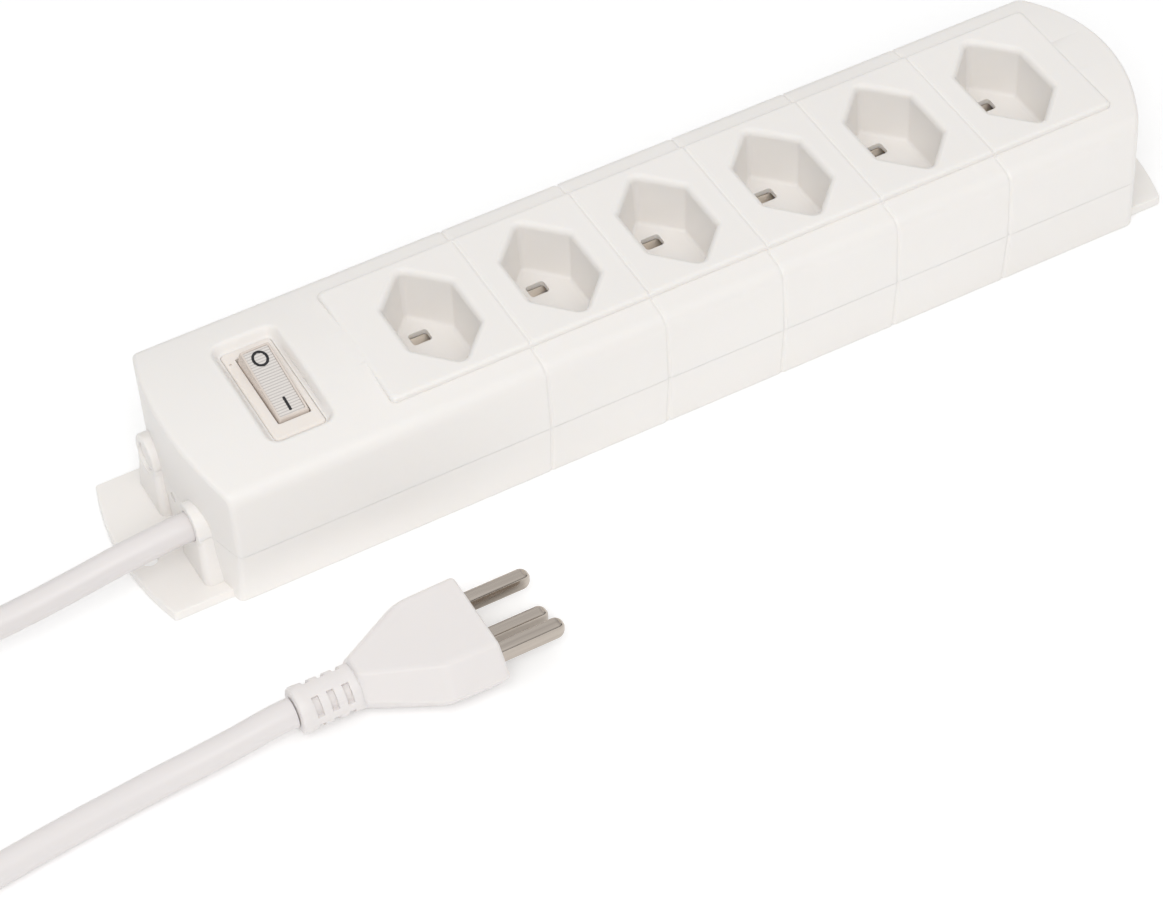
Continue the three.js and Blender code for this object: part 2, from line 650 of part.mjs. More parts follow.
function wiring() {
  const group = new THREE.Group();
  group.add(mesh("live_busbar", busbar(PIN_OFFSET, LIVE_BAR_Z, 0), NICKEL()));
  group.add(mesh("neutral_busbar", busbar(-PIN_OFFSET, LIVE_BAR_Z, 0), NICKEL()));
  group.add(mesh("earth_busbar", busbar(0, EARTH_BAR_Z, -EARTH_OFFSET), NICKEL()));

  const sheathEnd = -116.5;
  const sheath = rodX(CORD_R, [COLLAR_X, sheathEnd], -COLLAR_Y, SEAM_Z, 12);
  group.add(mesh("cord_inner_end", sheath, CORD_WHITE()));

  const start = sheathEnd + GAP;
  const [live, neutral] = [SWITCH_X + POLES.live, SWITCH_X + POLES.neutral];
  const foot = TERMINAL.bottom - GAP;
  const out = SEESAW.halfY - 1;
  const barEnd = BAR_START_X - GAP;
  const barZ = LIVE_BAR_Z + BAR.thickness / 2;
  const earthZ = EARTH_BAR_Z + BAR.thickness / 2;
  const [brown, blue, green] = [0x7a4a2a, 0x2f62b5, 0x7fae3a];
  const routes = {
    lead_live: [
      brown,
      [start, -13.2, 20.3],
      [start + 1.5, -13.2, 20.3],
      [-112.2, -8, 17.4],
      [-109.4, -2, 10.6],
      [live, 0, foot - 2.5],
      [live, 0, foot],
    ],
    lead_neutral: [
      blue,
      [start, -12.5, 16.9],
      [start + 1.5, -12.5, 16.9],
      [-110.5, -10.5, 12.5],
      [-105.5, -4, 8.6],
      [neutral, 0, foot - 2.5],
      [neutral, 0, foot],
    ],
    lead_earth: [
      green,
      [start, -15.9, 17.9],
      [start + 1.5, -15.9, 17.9],
      [-110, -16.5, 11],
      [-98, -11, 6.4],
      [barEnd - 2, 0, earthZ],
      [barEnd, 0, earthZ],
    ],
    link_live: [
      brown,
      [live, out, foot],
      [live, out, foot - 2],
      [-103, 9.5, barZ],
      [-92, 10.6, barZ],
      [barEnd - 2, PIN_OFFSET, barZ],
      [barEnd, PIN_OFFSET, barZ],
    ],
    link_neutral: [
      blue,
      [neutral, out, foot],
      [neutral, out, foot - 1.5],
      [-96, 0, barZ + 1],
      [-90, -6, barZ],
      [barEnd - 2, -PIN_OFFSET, barZ],
      [barEnd, -PIN_OFFSET, barZ],
    ],
  };
  for (const [name, [color, ...route]] of Object.entries(routes)) {
    group.add(mesh(name, tube(route, LEAD_R, 6, 10), material(color, 0.5)));
  }
  return group;
}

// ---- Cord and plug ------------------------------------------------------------------------------------

function cord() {
  const group = new THREE.Group();
  group.add(mesh("cord_lead", tube(LEAD_ROUTE, CORD_R, 10, 9), CORD_WHITE()));
  group.add(mesh("cord_tail", tube(TAIL_ROUTE, CORD_R, 10, 9), CORD_WHITE()));

  const { x, y, inner, outer, bottom, top } = COIL;
  const soft = 3.5; // rounding of the bundle's four corners
  const section = [
    [inner + soft, bottom],
    [outer - soft, bottom],
    [outer, bottom + soft],
    [outer, top - soft],
    [outer - soft, top],
    [inner + soft, top],
    [inner, top - soft],
    [inner, bottom + soft],
    [inner + soft, bottom],
  ].map(([r, z]) => new THREE.Vector2(r, z));
  const ring = mesh("cord_coil", new THREE.LatheGeometry(section, 32).rotateX(Math.PI / 2), CORD_WHITE());
  ring.position.set(x, y, 0);
  group.add(ring);

  const { width, thickness, clearance } = TIE;
  const [left, right] = [x - outer - clearance, x - inner + clearance];
  const [low, high] = [bottom - GAP, top + clearance];
  const grown = (by) =>
    outline([
      [left - by, low - by],
      [right + by, low - by],
      [right + by, high + by],
      [left - by, high + by],
    ]);
  const loop = alongY(grown(thickness), ...around(y, width / 2)).subtract(
    alongY(grown(0), ...around(y, width / 2 + OVER)),
  );
  group.add(mesh("coil_tie", loop, material(0xe9e6e2, 0.8)));
  return group;
}

function plugBody() {
  const { tip, flat, halfThickness } = PLUG;
  const { straight, length, neck } = PLUG_TAPER;
  const section = outline([
    [-tip, 0],
    [-flat, -halfThickness],
    [flat, -halfThickness],
    [tip, 0],
    [flat, halfThickness],
    [-flat, halfThickness],
  ]);
  const sides = outline([
    [0, -tip],
    [0, tip],
    [-straight, tip],
    [-length, neck],
    [-length, -neck],
    [-straight, -tip],
  ]);
  return alongX(section, -length, 0).intersect(alongZ(sides, -halfThickness, halfThickness));
}

function plugPin() {
  const { width, height, length, tip } = PIN;
  const round = 0.9;
  const across = (w, h) =>
    outline([
      [-w / 2 + round, -h / 2],
      [w / 2 - round, -h / 2],
      [w / 2, -h / 2 + round],
      [w / 2, h / 2 - round],
      [w / 2 - round, h / 2],
      [-w / 2 + round, h / 2],
      [-w / 2, h / 2 - round],
      [-w / 2, -h / 2 + round],
    ]);
  const blade = alongX(across(width, height), GAP, length);
  const nose = outline([
    [0, -height / 2],
    [length - tip, -height / 2],
    [length, -height / 2 + tip],
    [length, height / 2 - tip],
    [length - tip, height / 2],
    [0, height / 2],
  ]);
  return blade.intersect(alongY(nose, -width, width));
}

function plug() {
  const group = new THREE.Group();
  group.position.set(PLUG.x, PLUG.y, PLUG.z);
  group.add(mesh("plug_body", plugBody(), CORD_WHITE()));

  const from = -PLUG_TAPER.length - GAP;
  const relief = rodX(RELIEF.r, [from - RELIEF.length + GAP, from], 0, RELIEF.z - PLUG.z, 16);
  group.add(mesh("plug_strain_relief", relief, CORD_WHITE()));

  const pins = {
    plug_pin_live: [PIN_OFFSET, 0],
    plug_pin_neutral: [-PIN_OFFSET, 0],
    plug_pin_earth: [0, -EARTH_OFFSET],
  };
  for (const [name, [y, z]] of Object.entries(pins)) {
    const pin = mesh(name, plugPin(), NICKEL());
    pin.position.set(0, y, z);
    group.add(pin);
  }
  return group;
}

// ---- Assembly -----------------------------------------------------------------------------------------

const strip = new THREE.Group();
strip.add(mesh("top_cover", topCover(), WHITE_SHELL()));
strip.add(mesh("base", base(), WHITE_SHELL()));
strip.add(fasteners());
strip.add(switchGroup());
strip.add(wiring());
strip.add(cord());
strip.add(plug());

export default strip;
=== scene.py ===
"""A six-way power strip with its switch, cord and plug, on a pale floor."""

import math

import bmesh
import bpy
from mathutils import Matrix, Vector


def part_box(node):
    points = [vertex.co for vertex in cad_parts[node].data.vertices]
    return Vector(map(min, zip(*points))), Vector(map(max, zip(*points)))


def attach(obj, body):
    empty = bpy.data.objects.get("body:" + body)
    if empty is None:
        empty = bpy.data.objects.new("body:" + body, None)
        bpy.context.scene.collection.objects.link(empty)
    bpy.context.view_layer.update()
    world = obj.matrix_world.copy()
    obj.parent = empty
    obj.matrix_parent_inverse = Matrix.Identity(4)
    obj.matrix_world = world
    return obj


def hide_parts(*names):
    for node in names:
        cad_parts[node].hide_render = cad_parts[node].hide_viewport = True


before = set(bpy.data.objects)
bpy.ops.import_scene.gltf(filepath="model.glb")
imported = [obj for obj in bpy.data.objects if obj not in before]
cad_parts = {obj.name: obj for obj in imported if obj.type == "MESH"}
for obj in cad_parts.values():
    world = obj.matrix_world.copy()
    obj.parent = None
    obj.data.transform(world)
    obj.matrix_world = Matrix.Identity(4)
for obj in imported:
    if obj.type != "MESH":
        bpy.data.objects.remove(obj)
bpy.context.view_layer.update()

MM = 0.001


def box_mm(node):
    low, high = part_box(node)
    return low / MM, high / MM


# ---- Camera and cord -----------------------------------------------------------------------------

CAMERA = {"lens": 116.1, "angles": (-24.87, 46.62, 4.4), "at": (-0.3199, -0.6457, 0.7225)}


def make_camera():
    data = bpy.data.cameras.new("camera")
    data.lens = CAMERA["lens"]
    data.sensor_width = 36
    data.sensor_fit = "HORIZONTAL"
    data.clip_start = 0.05
    data.clip_end = 20
    azimuth, elevation, roll = (math.radians(a) for a in CAMERA["angles"])
    back = Vector(
        (
            math.sin(azimuth) * math.cos(elevation),
            -math.cos(azimuth) * math.cos(elevation),
            math.sin(elevation),
        )
    )
    level = back.cross(Vector((0, 0, 1))).normalized() * -1
    upright = back.cross(level)
    right = level * math.cos(roll) - upright * math.sin(roll)
    up = level * math.sin(roll) + upright * math.cos(roll)
    pose = Matrix((right, up, back)).transposed().to_4x4()
    pose.translation = Vector(CAMERA["at"])
    camera = bpy.data.objects.new("camera", data)
    camera.matrix_world = pose
    bpy.context.scene.collection.objects.link(camera)
    bpy.context.scene.camera = camera


make_camera()

CORD_R = 4
SEAM_Z = 18.5
COLLAR_Y = 14.1
# Radii are to the middle of the cord, which comes in at 60 degrees and leaves at -60.
COIL = {"x": -272, "y": -39.5, "inner": 34, "join": 48, "pitch": 8, "low": 5.3, "high": 13.4}
CORD_OUT = [
    (-138.3, -14.1, 18.5),
    (-142.5, -14.1, 18.5),
    (-150, -14.1, 17.7),
    (-158, -14, 16.7),
    (-169.5, -14, 14.9),
    (-181, -14, 13.2),
    (-191.6, -14, 12.1),
    (-201, -14, 11.8),
    (-209.4, -14, 11.8),
    (-216.4, -13.4, 11.8),
    (-223.1, -11.6, 12.0),
    (-229.4, -8.6, 12.3),
    (-236.9, -4.4, 12.8),
    (-243, -0.9, 13.2),
]
CORD_BACK = [
    (-238.4, -83.9, 5.0),
    (-233.6, -82.4, 4.6),
    (-228.8, -81.4, 4.3),
    (-220.2, -80.2, 4.1),
    (-209, -78.7, 4.1),
    (-198, -77.4, 4.1),
    (-187, -76.3, 4.1),
    (-176, -75.5, 4.4),
    (-165, -75.1, 5),
    (-153.5, -74.8, 6),
    (-146, -74.5, 6.9),
    (-142, -74.4, 7.2),
    (-139, -74.4, 7.2),
]


def coil_points():
    """The stored turns: an upper layer wound inwards, then a lower layer wound outwards."""
    upper, drop, total = 1.75, 1 / 3, 4 + 240 / 360
    points = []
    steps = 16
    for k in range(1, round(total * steps) + 1):
        turns = k / steps
        if turns > total - 0.02:
            break
        angle = math.radians(60) + 2 * math.pi * turns
        if turns < upper:
            r, z = COIL["join"] - COIL["pitch"] * turns, COIL["high"]
        elif turns < upper + drop:
            s = (turns - upper) / drop
            r = COIL["inner"]
            z = COIL["high"] + (COIL["low"] - COIL["high"]) * (1 - math.cos(math.pi * s)) / 2
        else:
            r, z = COIL["inner"] + COIL["pitch"] * (turns - upper - drop), COIL["low"]
        points.append((COIL["x"] + r * math.cos(angle), COIL["y"] + r * math.sin(angle), z))
    return points


def smooth_line(points, per=6):
    """Points on a centripetal Catmull-Rom curve through the given ones."""
    p = [Vector(q) for q in points]
    p = [2 * p[0] - p[1], *p, 2 * p[-1] - p[-2]]
    line = []
    for a, b, c, d in zip(p, p[1:], p[2:], p[3:]):
        t0 = 0
        t1 = t0 + (b - a).length ** 0.5
        t2 = t1 + (c - b).length ** 0.5
        t3 = t2 + (d - c).length ** 0.5
        for k in range(per):
            t = t1 + (t2 - t1) * k / per
            ab = a.lerp(b, (t - t0) / (t1 - t0))
            bc = b.lerp(c, (t - t1) / (t2 - t1))
            cd = c.lerp(d, (t - t2) / (t3 - t2))
            abc = ab.lerp(bc, (t - t0) / (t2 - t0))
            bcd = bc.lerp(cd, (t - t1) / (t3 - t1))
            line.append(abc.lerp(bcd, (t - t1) / (t2 - t1)))
    line.append(p[-2])
    return line


def make_cord():
    line = smooth_line([*CORD_OUT, *coil_points(), *CORD_BACK])
    curve = bpy.data.curves.new("cord", "CURVE")
    curve.dimensions = "3D"
    curve.bevel_depth = CORD_R * MM
    curve.bevel_resolution = 6
    curve.use_fill_caps = True
    spline = curve.splines.new("POLY")
    spline.points.add(len(line) - 1)
    for point, q in zip(spline.points, line):
        point.co = (*(q * MM), 1)
    spline.use_smooth = True
    cord = bpy.data.objects.new("cord", curve)
    bpy.context.scene.collection.objects.link(cord)
    return cord, line


cord, cord_line = make_cord()

# ---- Mesh helpers --------------------------------------------------------------------------------


def add_object(name, mesh):
    made = bpy.data.objects.new(name, mesh)
    bpy.context.scene.collection.objects.link(made)
    return made


def solid(name, verts, faces):
    """A closed mesh from millimetre points, its faces turned outwards."""
    bm = bmesh.new()
    corners = [bm.verts.new(Vector(v) * MM) for v in verts]
    for face in faces:
        bm.faces.new([corners[i] for i in face])
    bmesh.ops.recalc_face_normals(bm, faces=bm.faces)
    bmesh.ops.triangulate(bm, faces=bm.faces)
    if bm.calc_volume(signed=True) < 0:
        bmesh.ops.reverse_faces(bm, faces=bm.faces)
    mesh = bpy.data.meshes.new(name)
    bm.to_mesh(mesh)
    bm.free()
    return add_object(name, mesh)


def ring_faces(count, n):
    """Quads between consecutive rings of n points."""
    faces = []
    for k in range(count - 1):
        for i in range(n):
            j = (i + 1) % n
            faces.append((k * n + i, k * n + j, (k + 1) * n + j, (k + 1) * n + i))
    return faces


def loft(name, rings):
    """A solid through rings of points, with flat ends."""
    n = len(rings[0])
    faces = ring_faces(len(rings), n)
    faces.append(tuple(range(n)))
    faces.append(tuple((len(rings) - 1) * n + i for i in range(n)))
    return solid(name, [p for ring in rings for p in ring], faces)


def folded_loft(name, rings):
    """A solid through rings that are each two lines, there and back, with ends of quads."""
    n = len(rings[0])
    faces = ring_faces(len(rings), n)
    for first in (0, (len(rings) - 1) * n):
        for i in range(n // 2 - 1):
            faces.append((first + i, first + i + 1, first + n - 2 - i, first + n - 1 - i))
    return solid(name, [p for ring in rings for p in ring], faces)


def grown(corners, by):
    """A convex outline, given anticlockwise, with each side moved out."""
    result = []
    n = len(corners)
    for i in range(n):
        a, b, c = (Vector(corners[(i + k) % n]) for k in (-1, 0, 1))
        u, v = (b - a).normalized(), (c - b).normalized()
        nu, nv = Vector((u.y, -u.x)), Vector((v.y, -v.x))
        result.append(tuple(b + (nu + nv) * (by / (1 + nu.dot(nv)))))
    return result


def rounded(corners, radius, steps=5):
    """The outline with each corner rounded. A point on a straight side stays one point."""
    inner = grown(corners, -radius)
    result = []
    n = len(corners)
    for i in range(n):
        a, b, c = (Vector(corners[(i + k) % n]) for k in (-1, 0, 1))
        u, v = (b - a).normalized(), (c - b).normalized()
        start = math.atan2(-u.x, u.y)
        turn = math.atan2(u.cross(v), u.dot(v))
        count = steps if turn > 0.01 else 0
        for k in range(count + 1):
            angle = start + turn * k / steps
            result.append(
                (inner[i][0] + radius * math.cos(angle), inner[i][1] + radius * math.sin(angle))
            )
    return result


def rectangle(half_x, half_y, cx=0, cy=0):
    return [
        (cx - half_x, cy - half_y),
        (cx + half_x, cy - half_y),
        (cx + half_x, cy + half_y),
        (cx - half_x, cy + half_y),
    ]


def divided(corners, parts):
    """The outline with more points along its sides."""
    result = []
    for a, b in zip(corners, corners[1:] + corners[:1]):
        result += [tuple(Vector(a).lerp(Vector(b), k / parts)) for k in range(parts)]
    return result


def level_ring(outline, z):
    return [(x, y, z) for x, y in outline]


def prism(name, outline, z0, z1):
    return loft(name, [level_ring(outline, z0), level_ring(outline, z1)])


def block(name, xs, ys, zs):
    (x0, x1), (y0, y1), (z0, z1) = xs, ys, zs
    return prism(name, [(x0, y0), (x1, y0), (x1, y1), (x0, y1)], z0, z1)


def soft_block(name, outline, z0, z1, edge, corner, steps=4):
    """A slab whose top edge and corners are rounded."""
    rings = [level_ring(rounded(outline, corner), z0)]
    for k in range(steps + 1):
        a = math.radians(90) * k / steps
        inset = edge * (1 - math.cos(a))
        ring = rounded(grown(outline, -inset), max(corner - inset, 0.02))
        rings.append(level_ring(ring, z1 - edge + edge * math.sin(a)))
    return loft(name, rings)


def rod(name, shape, start, end, sides=32):
    """A turned solid from start towards end. shape is a radius or a list of (distance, radius)."""
    start, end = Vector(start), Vector(end)
    along = (end - start).normalized()
    side = along.orthogonal().normalized()
    other = along.cross(side)
    profile = shape if isinstance(shape, list) else [(0, shape), ((end - start).length, shape)]
    rings = []
    for distance, r in profile:
        ring = []
        for k in range(sides):
            a = 2 * math.pi * k / sides
            out = (side * math.cos(a) + other * math.sin(a)) * r
            ring.append(tuple(start + along * distance + out))
        rings.append(ring)
    return loft(name, rings)


def combine(target, others, operation):
    for other in others:
        step = target.modifiers.new("step", "BOOLEAN")
        step.operation = operation
        step.solver = "MANIFOLD"
        step.object = other
    apply_all(target)
    for other in others:
        bpy.data.objects.remove(other)
    return target


def apply_all(target):
    bpy.context.view_layer.update()
    graph = bpy.context.evaluated_depsgraph_get()
    mesh = bpy.data.meshes.new_from_object(target.evaluated_get(graph))
    target.modifiers.clear()
    target.data = mesh


def join_to(target, *others):
    return combine(target, others, "UNION")


def cut_from(target, *others):
    return combine(target, others, "DIFFERENCE")


def soften(target, width, segments=3, angle=30):
    """Rounds the sharp edges."""
    step = target.modifiers.new("edges", "BEVEL")
    step.width = width * MM
    step.segments = segments
    step.limit_method = "ANGLE"
    step.angle_limit = math.radians(angle)
    apply_all(target)
    return target


def shade(target, angle=32):
    """Smooth shading that keeps flat faces flat and edges over the angle crisp."""
    bm = bmesh.new()
    bm.from_mesh(target.data)
    bmesh.ops.remove_doubles(bm, verts=bm.verts, dist=1e-7)
    bmesh.ops.dissolve_degenerate(bm, dist=1e-7, edges=bm.edges)
    bm.to_mesh(target.data)
    bm.free()
    target.data.shade_smooth()
    target.data.set_sharp_from_angle(angle=math.radians(angle))
    step = target.modifiers.new("normals", "WEIGHTED_NORMAL")
    step.keep_sharp = True
    step.weight = 90
    apply_all(target)
    return target


# ---- Body shells ---------------------------------------------------------------------------------

COVER_LOW, COVER_HIGH = box_mm("top_cover")
BASE_HIGH = box_mm("base")[1]
SWITCH_LOW, SWITCH_HIGH = box_mm("switch_housing")
PLUG_LOW, PLUG_HIGH = box_mm("plug_body")
RELIEF_LOW, RELIEF_HIGH = box_mm("plug_strain_relief")

HALF_WIDTH = COVER_HIGH.y
HALF_WIDTH_FOOT = 28.8
FOOT_LEAN = (HALF_WIDTH - HALF_WIDTH_FOOT) / SEAM_Z
CORD_CORNER_X = -132.3
CORD_BULGE = 5
FAR_BULGE = 9.6
FAR_CORNER_X = COVER_HIGH.x - FAR_BULGE
PANEL_Z = COVER_HIGH.z
CROWN_Z = PANEL_Z - 0.2
CROWN_R = 185
SHOULDER_R = 4
WALL = 2.2
FLOOR = 2.4
LIP_GAP = 0.3
RIM_THICKNESS = 1.2
RIM_CLEARANCE = 0.4
SEAM_LINE = 0.1
EDGE = 1.3
INNER_EDGE = 0.4
CORD_END = (-160, 0), (-40, 40)

PANEL_X = (-82.4, 133.9)
PANEL_HALF_WIDTH = 22.4
PITCH = 35
OUTLETS = [-60.5 + PITCH * k for k in range(6)]
GROOVES = [x + PITCH / 2 for x in OUTLETS[:-1]]
GROOVE_WIDTH = 1.8
GROOVE_DEPTH = 0.4
WELL_TIP, WELL_HALF, WELL_SHOULDER = 19.2, 10.1, 8.4
WELL_FLOOR_Z = 26
WELL_WALL = 1.6
SLOT_HALF = (2.75, 2.25)
PIN_OFFSET = 9.5
EARTH_OFFSET = 5
COLLAR_R = 6.4
PILOT_R, PILLAR_R, BOSS_R, HEAD_R = 1.7, 3.2, 4.2, 3.2
VENT_R = 1.5
TAB = {"reach": BASE_HIGH.x, "bulge": 4, "half_width": 26, "inner_x": 126, "thickness": 3}
TAB_SLOT = {"x": 148.5, "y": -1.8, "half": (2.5, 6)}
COLLAR_X = COVER_LOW.x
SWITCH_X = (SWITCH_LOW.x + SWITCH_HIGH.x) / 2
BEZEL_HALF = (7.2, 17.7)


def crown(y):
    """The height of the crowned top."""
    return CROWN_Z - CROWN_R + math.sqrt(CROWN_R**2 - y**2)


def cover_profile(inset):
    """The cover's top from one side wall to the other, as (y, z)."""
    centre = CROWN_Z - CROWN_R
    shoulder_y = HALF_WIDTH - SHOULDER_R
    shoulder_z = centre + math.sqrt((CROWN_R - SHOULDER_R) ** 2 - shoulder_y**2)
    lean = math.atan2(shoulder_z - centre, shoulder_y)
    right = []
    r = max(SHOULDER_R - inset, 0.05)
    for k in range(9):
        a = lean * k / 8
        right.append((shoulder_y + r * math.cos(a), shoulder_z + r * math.sin(a)))
    top = []
    for k in range(1, 24):
        a = lean + (math.pi - 2 * lean) * k / 24
        r = CROWN_R - inset
        top.append((r * math.cos(a), centre + r * math.sin(a)))
    left = [(-y, z) for y, z in reversed(right)]
    return right + top + left


def end_x(toward, y, inset):
    """The bowed end wall at y: the cord end if toward is -1, the far end if it is 1."""
    corner, bulge = (CORD_CORNER_X, CORD_BULGE) if toward < 0 else (FAR_CORNER_X, FAR_BULGE)
    r = (HALF_WIDTH**2 + bulge**2) / (2 * bulge)
    centre = corner + toward * (bulge - r)
    return centre + toward * math.sqrt((r - inset) ** 2 - y**2)


def shell(name, tops, foots, inset=0, edge=EDGE):
    """The body's outside between a top and a foot line, with bowed ends.

    Each line is a function of the inset that gives (y, z) points in matching order.
    """
    steps = 5 if edge > 0.1 else 1
    rings = []
    for toward in (-1, 1):
        ends = []
        for k in range(steps + 1):
            a = math.radians(90) * k / steps
            drawn_in = inset + edge * (1 - math.sin(a))
            section_in = inset + edge * (1 - math.cos(a))
            line = tops(section_in) + foots(section_in)[::-1]
            ends.append([(end_x(toward, y, drawn_in), y, z) for y, z in line])
        rings += ends[::-1] if toward < 0 else ends
    near, far = rings[steps], rings[steps + 1]
    middle = []
    for k in range(1, 24):
        ring = [(a[0] + (b[0] - a[0]) * k / 24, a[1], a[2]) for a, b in zip(near, far)]
        middle.append(ring)
    rings[steps + 1 : steps + 1] = middle
    return folded_loft(name, rings)


def cover_shell(name, inset, foot, edge=EDGE):
    def foots(section_in):
        return [(y, foot) for y, _ in cover_profile(section_in)]

    return shell(name, cover_profile, foots, inset, edge)


def base_shell(name, inset, foot, top, edge=EDGE):
    def line(z):
        def points(section_in):
            half = HALF_WIDTH_FOOT + FOOT_LEAN * z - section_in
            return [(half * (1 - k / 12), z) for k in range(25)]

        return points

    return shell(name, line(top), line(foot), inset, edge)


def well_outline(x):
    """The long hexagon of the outlet at x."""
    return [
        (x, -WELL_TIP),
        (x + WELL_HALF, -WELL_SHOULDER),
        (x + WELL_HALF, WELL_SHOULDER),
        (x, WELL_TIP),
        (x - WELL_HALF, WELL_SHOULDER),
        (x - WELL_HALF, -WELL_SHOULDER),
    ]


def flared_cut(name, outline, corner, floor, top, rim, floor_round, draft=0):
    """A cutter with a rounded floor edge and a rim that opens out."""
    reach = 3
    rings = []
    for k in range(5):
        a = math.radians(90) * k / 4
        by = -draft - floor_round * (1 - math.sin(a))
        ring = rounded(grown(outline, by), max(corner + by, 0.1))
        rings.append(level_ring(ring, floor + floor_round * (1 - math.cos(a))))
    for k in range(6):
        a = math.radians(82) * k / 5
        by = rim * (1 - math.cos(a))
        drop = rim * (1 - math.sin(a))
        ring = rounded(grown(outline, by), corner + by)
        rings.append(level_ring(ring, top - drop))
    by += reach
    ring = rounded(grown(outline, by), corner + by)
    rings.append(level_ring(ring, top - drop + reach * math.tan(math.radians(8))))
    rings.append(level_ring(ring, PANEL_Z + 5))
    return loft(name, rings)


def groove_section():
    """The groove's soft V, as (distance from its middle, depth)."""
    section = []
    for k in range(9):
        depth = GROOVE_DEPTH * (1 - math.cos(2 * math.pi * k / 8)) / 2 - 0.03
        section.append((GROOVE_WIDTH * (k / 8 - 0.5), depth))
    return section


def cover_groove_cut(x):
    rings = []
    for at, depth in groove_section():
        outline = cover_line(-4) + cover_line(depth)[::-1]
        rings.append([(x + at, y, z) for y, z in outline])
    return folded_loft("groove", rings)


def base_groove_cut(x, side):
    rings = []
    for at, depth in groove_section():
        ring = []
        for z, out in ((-2, 4), (20, 4), (20, -depth), (-2, -depth)):
            ring.append((x + at, side * (HALF_WIDTH_FOOT + FOOT_LEAN * z + out), z))
        rings.append(ring)
    return loft("groove", rings)


def cover_line(d):
    """The cover and its panel drawn in by d, from one seam over the top to the other, as (y, z)."""
    shoulder = cover_profile(d)[:9]
    edge = PANEL_HALF_WIDTH
    right = [(HALF_WIDTH - d, SEAM_Z - 3), *shoulder]
    right += [(edge + 2.5, crown(edge + 2.5) - d), (edge + 0.9, crown(edge + 0.9) - d)]
    right += [(edge + 0.2, PANEL_Z - 0.4 - d), (edge - 0.6, PANEL_Z - d)]
    return right + [(-y, z) for y, z in reversed(right)]


def pin_places(x):
    """The slots of the outlet at x: two poles and the earth."""
    return [(x, PIN_OFFSET), (x, -PIN_OFFSET), (x - EARTH_OFFSET, 0)]


def collar(y):
    """A short tube on the end wall, with a soft rim."""
    profile = [(0, COLLAR_R - 0.7), (0.2, COLLAR_R - 0.25), (0.7, COLLAR_R), (9, COLLAR_R)]
    ends = (COLLAR_X, y, SEAM_Z), (COLLAR_X + 9, y, SEAM_Z)
    return rod("collar", profile, *ends, 48)


def bore_cut(y):
    """The hole for the cord, with a rounded mouth."""
    profile = [(0, 4.5), (2, 4.45), (2.15, 4.2), (2.4, 4.08), (2.8, 4.03), (16, 4.03)]
    ends = (COLLAR_X - 2, y, SEAM_Z), (COLLAR_X + 14, y, SEAM_Z)
    return rod("bore", profile, *ends, 48)


def screw_places():
    places = []
    for k in range(1, 5):
        low, high = box_mm(f"cover_screw_{k}")
        places.append(((low.x + high.x) / 2, (low.y + high.y) / 2))
    return places


def pocket_cut():
    """The switch's recess: a close seat for the bezel, then walls that slope out to the crown."""
    outline = divided(rectangle(*BEZEL_HALF, SWITCH_X), 10)
    top = SWITCH_HIGH.z
    rings = [level_ring(rounded(grown(outline, 0.08), 1.4), z) for z in (top - 2.1, top - 0.5)]
    for by, rise in (
        (0.35, 0),
        (0.7, 0.12),
        (1.1, 0.36),
        (1.5, 0.62),
        (1.9, 0.82),
        (2.3, 0.94),
        (2.8, 0.995),
        (5, 1.08),
    ):
        foot = top - 0.45
        ring = rounded(grown(outline, by), 1.3 + by)
        rings.append([(x, y, foot + (crown(y) - foot) * rise) for x, y in ring])
    rings.append(level_ring(ring, PANEL_Z + 5))
    return loft("pocket", rings)


